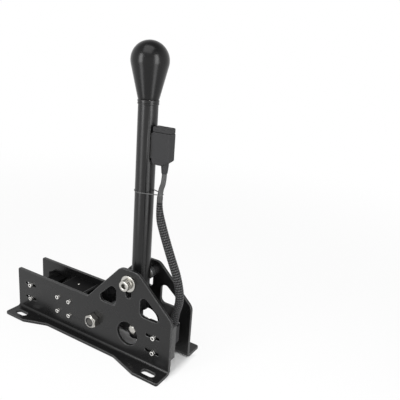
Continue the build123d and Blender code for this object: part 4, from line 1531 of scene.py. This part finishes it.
@dataclass
class Grip:
    """The knob and the jam ring below it.

    Attributes:
        frame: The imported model.
        base_radius: Radius of the knob's lower end.
        base_edge: Rounding of its lower rim.
        columns: Points round the knob.
        bore: Radius of the hole for the stud.
        bore_floor: Radius of the flat at the hole's end.
        bore_depth: How deep the hole is drawn.
        pole_gap: Angle that is left open at the top before the closing fan, in radians.
        groove_level: Middle of the jam ring's groove, as a share of the ring's height.
        groove_width: Width of the groove.
        groove_depth: Depth of the groove.
        groove_slope: How much narrower the groove is at its floor, on each side.
        ring_chamfer: Chamfer of the jam ring.
    """

    frame: Frame
    base_radius: float = 11.5
    base_edge: float = 0.5
    columns: int = 160
    bore: float = 5.05
    bore_floor: float = 2.5
    bore_depth: float = 6.0
    pole_gap: float = 0.02
    groove_level: float = 0.4
    groove_width: float = 0.9
    groove_depth: float = 0.7
    groove_slope: float = 0.1
    ring_chamfer: float = 0.25

    def build(self) -> None:
        """Builds both."""
        self.knob()
        self.ring()

    def knob(self) -> None:
        """A straight taper that meets a ball without an edge.

        The taper starts at the base radius. Its end is where a line from there touches the ball, and
        from there on the radius is the square root of the ball's radius squared less the height above
        its centre squared.
        """
        frame = self.frame
        x, y, _ = frame.middle("knob")
        base, top = frame.low("knob")[2], frame.high("knob")[2]
        ball = frame.size("knob")[0] / 2
        centre = top - ball
        foot, edge = self.base_radius, self.base_edge
        to_centre = math.hypot(foot, centre - base)
        lean = math.atan2(centre - base, -foot) - math.asin(ball / to_centre)
        reach = math.sqrt(to_centre**2 - ball**2)
        spread, rise = reach * math.cos(lean), reach * math.sin(lean)
        rings = [Ring(base + self.bore_depth, self.bore_floor), Ring(base + self.bore_depth, self.bore)]
        rings.append(Ring(base, self.bore))
        for a in np.linspace(0.0, QUARTER, 7):
            rings.append(Ring(base + edge * (1 - math.cos(a)), foot - edge * (1 - math.sin(a))))
        for height in edge + (rise - edge) * np.linspace(0.02, 1.0, 24):
            rings.append(Ring(base + height, foot + spread * height / rise))
        start = math.asin((base + rise - centre) / ball)
        for a in np.linspace(start, QUARTER - self.pole_gap, 60)[1:]:
            rings.append(Ring(centre + ball * math.sin(a), ball * math.cos(a)))
        shape = turned(rings, self.columns).placed((x, y, 0.0), Heading.UP)
        frame.fit(shape, "round_knob", Finishes.KNOB, "knob")

    def ring(self) -> None:
        """A short ring between the tube and the knob, with a turned groove near its lower rim."""
        frame = self.frame
        x, y, _ = frame.middle("jam_ring")
        width, _, tall = frame.size("jam_ring")
        outer, chamfer = width / 2, self.ring_chamfer
        lower = self.groove_level * tall - self.groove_width / 2
        upper = lower + self.groove_width
        floor = outer - self.groove_depth
        # The groove's floor is darkened: painted shade.
        rings = [
            Ring(0.0, self.bore),
            Ring(0.0, outer - chamfer),
            Ring(chamfer, outer),
            Ring(lower, outer),
            Ring(lower + self.groove_slope, floor, painted_shade=1.0),
            Ring(upper - self.groove_slope, floor, painted_shade=1.0),
            Ring(upper, outer),
            Ring(tall - chamfer, outer),
            Ring(tall, outer - chamfer),
            Ring(tall, self.bore),
        ]
        shape = turned(rings, closed_loop=True).placed((x, y, frame.low("jam_ring")[2]), Heading.UP)
        frame.fit(shape, "turned_jam_ring", Finishes.TUBE_COAT, "jam_ring")


@dataclass
class Springs:
    """The two centring springs, one unbroken wire each, with closer turns at both ends.

    Attributes:
        frame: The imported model.
        wire: Thickness of the wire.
        turns: Turns of each spring.
        end_gap: Gap between the turns at each end.
        per_turn: Points along one turn.
        around: Points round the wire.
    """

    frame: Frame
    wire: float = 1.8
    turns: int = 6
    end_gap: float = 0.5
    per_turn: int = 40
    around: int = 12

    def build(self) -> None:
        """Builds both springs."""
        self.spring("front_spring", "coil_spring_front")
        self.spring("rear_spring", "coil_spring_rear")

    def spring(self, node: str, name: str) -> None:
        """One spring.

        The angle grows evenly. The advance along X is slow over the first and last turn and even over
        the turns between.

        Args:
            node: The CAD node that it replaces.
            name: The new piece's name.
        """
        frame = self.frame
        ends = [frame.low(node)[0], frame.high(node)[0]]
        _, y, z = frame.middle(node)
        radius = self.wire / 2
        mean = frame.size(node)[2] / 2 - radius
        turn = np.linspace(0.0, self.turns, self.turns * self.per_turn + 1)
        closed = self.wire + self.end_gap
        opened = (ends[1] - ends[0] - self.wire - 2 * closed) / (self.turns - 2)
        rate = np.where((turn[:-1] < 1) | (turn[:-1] >= self.turns - 1), closed, opened)
        along = ends[0] + radius + np.concatenate([[0.0], np.cumsum(rate * np.diff(turn))])
        angle = turn * TURN
        out = np.stack([np.zeros_like(angle), np.cos(angle), np.sin(angle)], -1)
        path = np.stack([along, np.full_like(along, y), np.full_like(along, z)], -1) + mean * out
        side = np.cross(unit(np.gradient(path, axis=0)), out)
        spin = (np.arange(self.around) * TURN / self.around)[None, :, None]
        circle = out[:, None] * np.cos(spin) + side[:, None] * np.sin(spin)
        piece = Surface.grid(path[:, None] + radius * circle, caps=True).to_object(name)
        frame.settle(piece, Finishes.SPRING, node, rides=False)
        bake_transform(piece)


@dataclass
class Cable:
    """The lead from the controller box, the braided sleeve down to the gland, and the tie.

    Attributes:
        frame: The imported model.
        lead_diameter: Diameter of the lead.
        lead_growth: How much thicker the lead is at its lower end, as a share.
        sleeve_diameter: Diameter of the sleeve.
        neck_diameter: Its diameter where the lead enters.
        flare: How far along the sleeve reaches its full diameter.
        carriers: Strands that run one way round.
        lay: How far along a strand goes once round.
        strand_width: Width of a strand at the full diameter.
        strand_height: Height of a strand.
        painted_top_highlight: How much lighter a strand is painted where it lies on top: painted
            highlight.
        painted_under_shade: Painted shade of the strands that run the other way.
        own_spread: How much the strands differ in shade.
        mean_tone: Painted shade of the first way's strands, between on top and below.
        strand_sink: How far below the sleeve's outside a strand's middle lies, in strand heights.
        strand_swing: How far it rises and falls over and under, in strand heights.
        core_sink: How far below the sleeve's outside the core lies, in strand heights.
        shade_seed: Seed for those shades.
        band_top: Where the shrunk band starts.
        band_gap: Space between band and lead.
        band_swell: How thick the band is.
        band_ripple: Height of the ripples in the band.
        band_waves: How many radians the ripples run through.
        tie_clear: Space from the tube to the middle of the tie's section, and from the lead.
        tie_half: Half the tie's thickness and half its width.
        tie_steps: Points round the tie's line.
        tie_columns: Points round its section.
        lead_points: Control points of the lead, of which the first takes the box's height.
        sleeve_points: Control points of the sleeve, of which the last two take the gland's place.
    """

    frame: Frame
    lead_diameter: float = 5.6
    lead_growth: float = 0.08
    sleeve_diameter: float = 10.0
    neck_diameter: float = 6.8
    flare: float = 26.0
    carriers: int = 16
    lay: float = 46.0
    strand_width: float = 0.9
    strand_height: float = 0.38
    painted_top_highlight: float = 0.5
    painted_under_shade: float = 0.05
    own_spread: float = 0.2
    mean_tone: float = 0.5
    strand_sink: float = 0.85
    strand_swing: float = 0.42
    core_sink: float = 2.0
    shade_seed: int = 11
    band_top: float = 204.6
    band_gap: float = 0.05
    band_swell: float = 0.5
    band_ripple: float = 0.05
    band_waves: float = 34.0
    tie_clear: tuple[float, float] = (0.43, 0.8)
    tie_half: tuple[float, float] = (0.4, 0.6)
    tie_steps: int = 240
    tie_columns: int = 8
    lead_points: tuple[Point, ...] = (
        (91.0, -2.0, 231.5),
        (91.0, -2.0, 221.5),
        (85.4, 0.0, 210.0),
        (85.4, 0.0, 197.5),
    )
    sleeve_points: tuple[Point, ...] = (
        (85.4, 0.0, 197.5),
        (85.4, 0.0, 183.5),
        (94.2, 0.0, 160.0),
        (104.6, 0.0, 136.0),
        (116.0, 0.0, 112.0),
        (121.2, 0.6, 86.0),
        (0.0, 0.0, 62.0),
        (0.0, 0.0, 40.0),
    )

    def build(self) -> None:
        """Builds the cable from top to bottom."""
        self.lead()
        self.sleeve()
        self.tie()

    @staticmethod
    def declare(piece: bpy.types.Object, line: Array, diameter: float, part: bpy.types.Object) -> None:
        """Takes a cord and what is on it, and does nothing with them.

        Args:
            piece: The cord; not used.
            line: The points that it follows; not used.
            diameter: Its diameter; not used.
            part: The piece that is on it; not used.
        """

    def lead(self) -> None:
        """The thin lead, and the shrunk band that holds the sleeve on its end.

        The band swells as the square root of the distance from its nearer end, and ripples as a sine.
        """
        frame = self.frame
        points = [list(point) for point in self.lead_points]
        points[0][2] = frame.low("controller_box")[2]
        line = Route("lead_route", points).line(spacing=0.5)
        radius = self.lead_diameter / 2
        growth = 1.0 + self.lead_growth * smoothstep(np.linspace(0.0, 1.0, len(line)))
        shape = tube(line, radius * growth, columns=40)
        piece = frame.fit(shape, "round_lead", Finishes.RUBBER, "signal_lead")
        covered = line[line[:, 2] < self.band_top]
        share = np.linspace(0.0, 1.0, len(covered))
        swell = self.band_swell * np.sqrt(np.clip(np.minimum(share, 1 - share) * 8.0, 0.0, 1.0))
        ripple = self.band_ripple * np.sin(share * self.band_waves)
        shape = tube(covered, radius + self.band_gap + swell + ripple, columns=48)
        band = frame.fit(shape, "shrunk_band", Finishes.SHRINK, "signal_lead", extra=True)
        self.declare(piece, line, self.lead_diameter, band)

    def sleeve(self) -> None:
        """The braided sleeve: strands that run both ways round the line, over and under in turn.

        Strand k of one way stands at the angle k shares of a turn plus the distance along the line in
        lays, and the other way minus it. Two strands cross each time that the distance grows by the lay
        over twice the strands of one way, and the height wave turns over once from crossing to crossing.
        The strands of the first way are painted lighter where they lie on top, as painted highlight from
        the lamps, and the other way's strands carry painted shade.
        """
        frame = self.frame
        gland = frame.middle("cable_gland")
        centre_y = frame.high("cable_gland")[1] - frame.size("cable_gland")[0] / 2
        points = [list(point) for point in self.sleeve_points]
        for point in points[-2:]:
            point[0], point[1] = gland[0], centre_y
        crossing = self.lay / (2 * self.carriers)
        line = Route("sleeve_route", points).line(crossing / 3)
        distance = run_of(line)
        grow = smoothstep(distance / self.flare)
        reach = (self.neck_diameter + (self.sleeve_diameter - self.neck_diameter) * grow) / 2
        width = self.strand_width * reach / (self.sleeve_diameter / 2)
        across, out = frames_along(line)
        section = np.array([(-1.0, 0.0), (-0.5, 0.5), (0.5, 0.5), (1.0, 0.0), (0.5, -0.5), (-0.5, -0.5)])
        shades = np.random.default_rng(self.shade_seed).uniform(0.0, 1.0, (2, self.carriers))
        parts = []
        for way, own_shades in zip((1, -1), shades):
            wave = way * np.cos(np.pi * distance / crossing)
            height = reach - self.strand_height * (self.strand_sink - self.strand_swing * wave)
            # Painted highlight and shade: the first way is lighter on top, the other way dark.
            painted_lighting = np.full(len(line), self.painted_under_shade)
            if way > 0:
                painted_lighting = self.mean_tone + self.painted_top_highlight * wave
            for k, own in enumerate(own_shades):
                angle = TURN * (k / self.carriers + way * distance / self.lay)
                radial = across * np.cos(angle)[:, None] + out * np.sin(angle)[:, None]
                centre = line + radial * height[:, None]
                side = np.cross(radial, unit(np.gradient(centre, axis=0)))
                strand = (
                    centre[:, None]
                    + side[:, None] * (section[None, :, :1] * width[:, None, None] / 2)
                    + radial[:, None] * (section[None, :, 1:] * self.strand_height)
                )
                lit = np.clip(painted_lighting + self.own_spread * (own - 0.5), 0.0, 1.0)
                made = Surface.grid(strand, caps=True, across=section[:, 0])
                tone = np.concatenate([np.repeat(lit, len(section)), [lit[0], lit[-1]]])
                parts.append(replace(made, tone=tone))
        braid = Surface.joined(parts).to_object("braided_sleeve", 60.0)
        frame.settle(braid, Finishes.FILAMENT, "cable_sleeve", rides=False)
        # The dark core shows between the strands as painted shade.
        inside = reach - self.core_sink * self.strand_height
        core = tube(line, inside, columns=32).to_object("sleeve_core_shade")
        frame.settle(core, Finishes.CORE_SHADE, "cable_sleeve", extra=True, rides=False)
        fixed = (gland[0] * MM, centre_y * MM, frame.high("cable_gland")[2] * MM)
        for piece in (braid, core):
            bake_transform(piece)
        self.declare(braid, line, self.sleeve_diameter, core)

    def tie(self) -> None:
        """A thin tie round the tube and the lead.

        Its line is the outline of both circles together: in each direction round the clock, the point
        is on the circle that reaches furthest that way. Its section is an ellipse.
        """
        frame = self.frame
        x, _, _ = frame.middle("lever_tube")
        _, _, level = frame.middle("cable_tie")
        centres = np.array([[x, 0.0], [self.lead_points[-1][0], 0.0]])
        radii = np.array([frame.size("lever_tube")[0], self.lead_diameter]) / 2 + self.tie_clear
        angle = np.arange(self.tie_steps) * TURN / self.tie_steps
        way = np.stack([np.cos(angle), np.sin(angle)], -1)
        pick = np.argmax(way @ centres.T + radii, axis=1)
        spot = centres[pick] + way * radii[pick][:, None]
        section = np.arange(self.tie_columns) * TURN / self.tie_columns
        out = self.tie_half[0] * np.cos(section)
        rise = self.tie_half[1] * np.sin(section)
        flat = spot[:, None] + way[:, None] * out[None, :, None]
        heights = np.broadcast_to((level + rise)[None, :, None], (len(spot), len(section), 1))
        ring = Surface.grid(np.concatenate([flat, heights], -1), wrap_rows=True)
        frame.fit(ring, "thin_tie", Finishes.TIE, "cable_tie")


@dataclass
class Studio:
    """The camera at the photograph's angle, a pale floor and soft lamps.

    Attributes:
        frame_width: Width of the picture in pixels.
        focal: Focal length in pixels.
        place: Where the camera stands.
        azimuth: Which side it looks from, in degrees.
        elevation: How far it looks down, in degrees.
        roll: How far the picture is turned, in degrees.
        sensor: Width of the camera's sensor.
        clip: Nearest and furthest distance that the camera sees, in metres.
        target: What the top lamp faces, and the point that the side lamps stand round.
        floor_radius: Radius of the floor.
        floor_level: Height of the floor, a little under the feet.
        floor_fade: Where the floor grows from pale to white, in metres.
        floor_pale: Share of white near the object.
        channel_half: Half the length and half the width of the space between the side plates.
        channel_edge: How far inside and outside of that the floor's shade grows.
        room_levels: The room's brightness by how steeply a ray rises.
        box_turn: How far the side lamps stand from the camera's azimuth, in degrees.
        box_distance: How far away they stand.
        box_width: How wide they are.
        box_parts: Name, lowest and highest point and radiance of each part of a side lamp.
        top_place: Where the top lamp hangs.
        top_side: How wide and deep it is.
        top_radiance: Its radiance.
    """

    frame_width: float = 400.0
    focal: float = 472.937
    place: Point = (369.14, -414.15, 359.33)
    azimuth: float = 29.3315
    elevation: float = 17.2914
    roll: float = -4.6084
    sensor: float = 36.0
    clip: tuple[float, float] = (0.01, 50.0)
    target: Point = (40.0, 0.0, 150.0)
    floor_radius: float = 8000.0
    floor_level: float = -0.2
    floor_fade: tuple[float, float] = (0.25, 1.2)
    floor_pale: float = 0.88
    channel_half: tuple[float, float] = (126.0, 27.0)
    channel_edge: tuple[float, float] = (3.0, 6.0)
    room_levels: tuple[tuple[float, float], ...] = ((0.1, 1.0), (0.5, 0.8), (0.9, 0.3))
    box_turn: float = 46.0
    box_distance: float = 450.0
    box_width: float = 160.0
    box_parts: tuple[tuple[str, float, float, float], ...] = (
        ("low", 10.0, 250.0, 3.0),
        ("high", 250.0, 610.0, 7.0),
    )
    top_place: Point = (150.0, -450.0, 1300.0)
    top_side: float = 900.0
    top_radiance: float = 2.3

    def build(self) -> None:
        """Builds the camera, the floor, the world and the lamps."""
        self.camera()
        self.floor()
        self.world()
        self.lamps()
        bpy.context.scene.view_settings.view_transform = "Standard"

    def camera(self) -> None:
        """The camera: its axes are the view's right, up and back, turned by the roll."""
        a, e, r = (math.radians(v) for v in (self.azimuth, self.elevation, self.roll))
        right = np.array([math.cos(a), math.sin(a), 0.0])
        back = np.array([math.sin(a) * math.cos(e), -math.cos(a) * math.cos(e), math.sin(e)])
        up = np.cross(back, right)
        axes = np.eye(4)
        axes[:3, 0] = math.cos(r) * right - math.sin(r) * up
        axes[:3, 1] = math.sin(r) * right + math.cos(r) * up
        axes[:3, 2] = back
        axes[:3, 3] = np.array(self.place) * MM
        data = bpy.data.cameras.new("photo_camera")
        data.sensor_width = self.sensor
        data.lens = self.focal / self.frame_width * self.sensor
        data.clip_start, data.clip_end = self.clip
        camera = linked("photo_camera", data)
        camera.matrix_world = Matrix(axes.tolist())
        bpy.context.scene.camera = camera

    def floor(self) -> None:
        """A wide round floor whose colour grows to plain white away from the object.

        Its rings' radii grow as the square of their number, and a fan closes the middle.
        """
        columns, steps = 64, 24
        angle = np.arange(columns) * TURN / columns
        radius = np.linspace(0.0, 1.0, steps)[1:, None] ** 2 * self.floor_radius
        level = np.full((len(radius), columns), self.floor_level)
        sheet = Surface.grid(np.stack([radius * np.cos(angle), radius * np.sin(angle), level], -1))
        number = np.arange(columns)
        hub = np.stack([np.full(columns, len(sheet.points)), number, np.roll(number, -1)], -1)
        whole = Surface(
            np.vstack([sheet.points, [[0.0, 0.0, self.floor_level]]]),
            sheet.quads,
            hub,
            np.append(sheet.tone, 0.0),
            np.append(sheet.across, 0.0),
        )
        piece = whole.to_object("pale_floor")
        material = bpy.data.materials.new("pale_floor")
        material.use_nodes = True
        material.node_tree.nodes.clear()
        wiring = Wiring(material.node_tree)
        place = wiring.place()
        far = wiring.node("ShaderNodeVectorMath", {0: place}, operation="LENGTH").outputs["Value"]
        near_end, far_end = self.floor_fade
        fade = wiring.node(
            "ShaderNodeMapRange",
            {"Value": far, "From Min": near_end, "From Max": far_end, "To Min": self.floor_pale},
            interpolation_type="SMOOTHSTEP",
        ).outputs["Result"]
        ray = wiring.node("ShaderNodeLightPath").outputs
        seen = wiring.maths("MAXIMUM", ray["Is Camera Ray"], ray["Is Glossy Ray"])
        open_floor = wiring.maths("MULTIPLY", fade, self.outside_channel(wiring, place))
        share = wiring.maths("MULTIPLY", open_floor, seen)
        matte = wiring.node("ShaderNodeBsdfDiffuse", {"Color": (0.8, 0.8, 0.8, 1.0)})
        white = wiring.node("ShaderNodeEmission", {"Color": (1.0, 1.0, 1.0, 1.0), "Strength": 1.0})
        shaders = {0: share, 1: matte.outputs["BSDF"], 2: white.outputs["Emission"]}
        mixed = wiring.node("ShaderNodeMixShader", shaders)
        wiring.node("ShaderNodeOutputMaterial", {"Surface": mixed.outputs["Shader"]})
        piece.data.materials.append(material)
        piece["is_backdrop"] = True

    def outside_channel(self, wiring: Wiring, place: bpy.types.NodeSocket) -> bpy.types.NodeSocket:
        """One on the open floor and zero between the side plates, where the floor lies in shade.

        Args:
            wiring: The floor material's wiring.
            place: Object coordinates.

        Returns:
            The output that holds the share.
        """
        axes = wiring.node("ShaderNodeSeparateXYZ", {0: place}).outputs
        inside, outside = self.channel_edge
        shares = []
        for label, limit in zip("XY", self.channel_half):
            reach = wiring.maths("ABSOLUTE", axes[label])
            ends = {"From Min": (limit - inside) * MM, "From Max": (limit + outside) * MM}
            made = wiring.node("ShaderNodeMapRange", {"Value": reach, **ends})
            shares.append(made.outputs["Result"])
        return wiring.maths("MAXIMUM", *shares)

    def world(self) -> None:
        """A pale room: white where it is seen and at eye level, and dimmer the higher a ray rises."""
        world = bpy.data.worlds.new("soft_room")
        bpy.context.scene.world = world
        world.use_nodes = True
        world.node_tree.nodes.clear()
        wiring = Wiring(world.node_tree)
        ray = wiring.node("ShaderNodeLightPath").outputs
        seen = wiring.maths("MAXIMUM", ray["Is Camera Ray"], ray["Is Transmission Ray"])
        way = wiring.node("ShaderNodeTexCoord").outputs["Generated"]
        rise = wiring.node("ShaderNodeSeparateXYZ", {0: way}).outputs["Z"]
        ramp = wiring.node("ShaderNodeValToRGB", {"Fac": rise})
        room = ramp.color_ramp.elements
        room.new(0.5)
        for element, (level, grey) in zip(room, self.room_levels):
            element.position, element.color = level, (grey, grey, grey, 1.0)
        strength = wiring.maths("MAXIMUM", seen, ramp.outputs["Color"])
        inputs = {"Color": (1.0, 1.0, 1.0, 1.0), "Strength": strength}
        light = wiring.node("ShaderNodeBackground", inputs)
        wiring.node("ShaderNodeOutputWorld", {"Surface": light.outputs["Background"]})

    def lamps(self) -> None:
        """Soft boxes either side of the camera, brighter above than below, and one overhead."""
        for side, turn in (("left", -self.box_turn), ("right", self.box_turn)):
            a = math.radians(self.azimuth + turn)
            x = math.sin(a) * self.box_distance + self.target[0]
            y = -math.cos(a) * self.box_distance
            for part, low, high, radiance in self.box_parts:
                middle = (low + high) / 2
                size = (self.box_width, high - low)
                aim = (self.target[0], 0.0, middle)
                self.lamp(f"soft_box_{side}_{part}", (x, y, middle), aim, size, radiance)
        size = (self.top_side, self.top_side)
        self.lamp("soft_box_top", self.top_place, self.target, size, self.top_radiance)

    def lamp(
        self, name: str, place: Point, target: Point, size: tuple[float, float], radiance: float
    ) -> None:
        """One rectangular lamp that faces a point. Its power is pi times its area times its radiance.

        Args:
            name: The lamp's name.
            place: Where it stands.
            target: The point that it faces.
            size: Its width and height.
            radiance: How bright its face is.
        """
        data = bpy.data.lights.new(name, "AREA")
        data.shape = "RECTANGLE"
        data.size, data.size_y = size[0] * MM, size[1] * MM
        data.energy = math.pi * data.size * data.size_y * radiance
        lamp = linked(name, data)
        lamp.location = Vector(place) * MM
        lamp.rotation_mode = "QUATERNION"
        lamp.rotation_quaternion = (Vector(target) - Vector(place)).to_track_quat("-Z", "Y")


def main() -> None:
    """Builds the camera and cable first, then the framework, fasteners, grip and springs."""
    logging.basicConfig(level=logging.INFO, format="%(message)s")
    frame = Frame()
    Studio().build()
    Cable(frame).build()
    Framework(frame).build()
    Fasteners(frame).build()
    Grip(frame).build()
    Springs(frame).build()


if __name__ == "__main__":
    main()
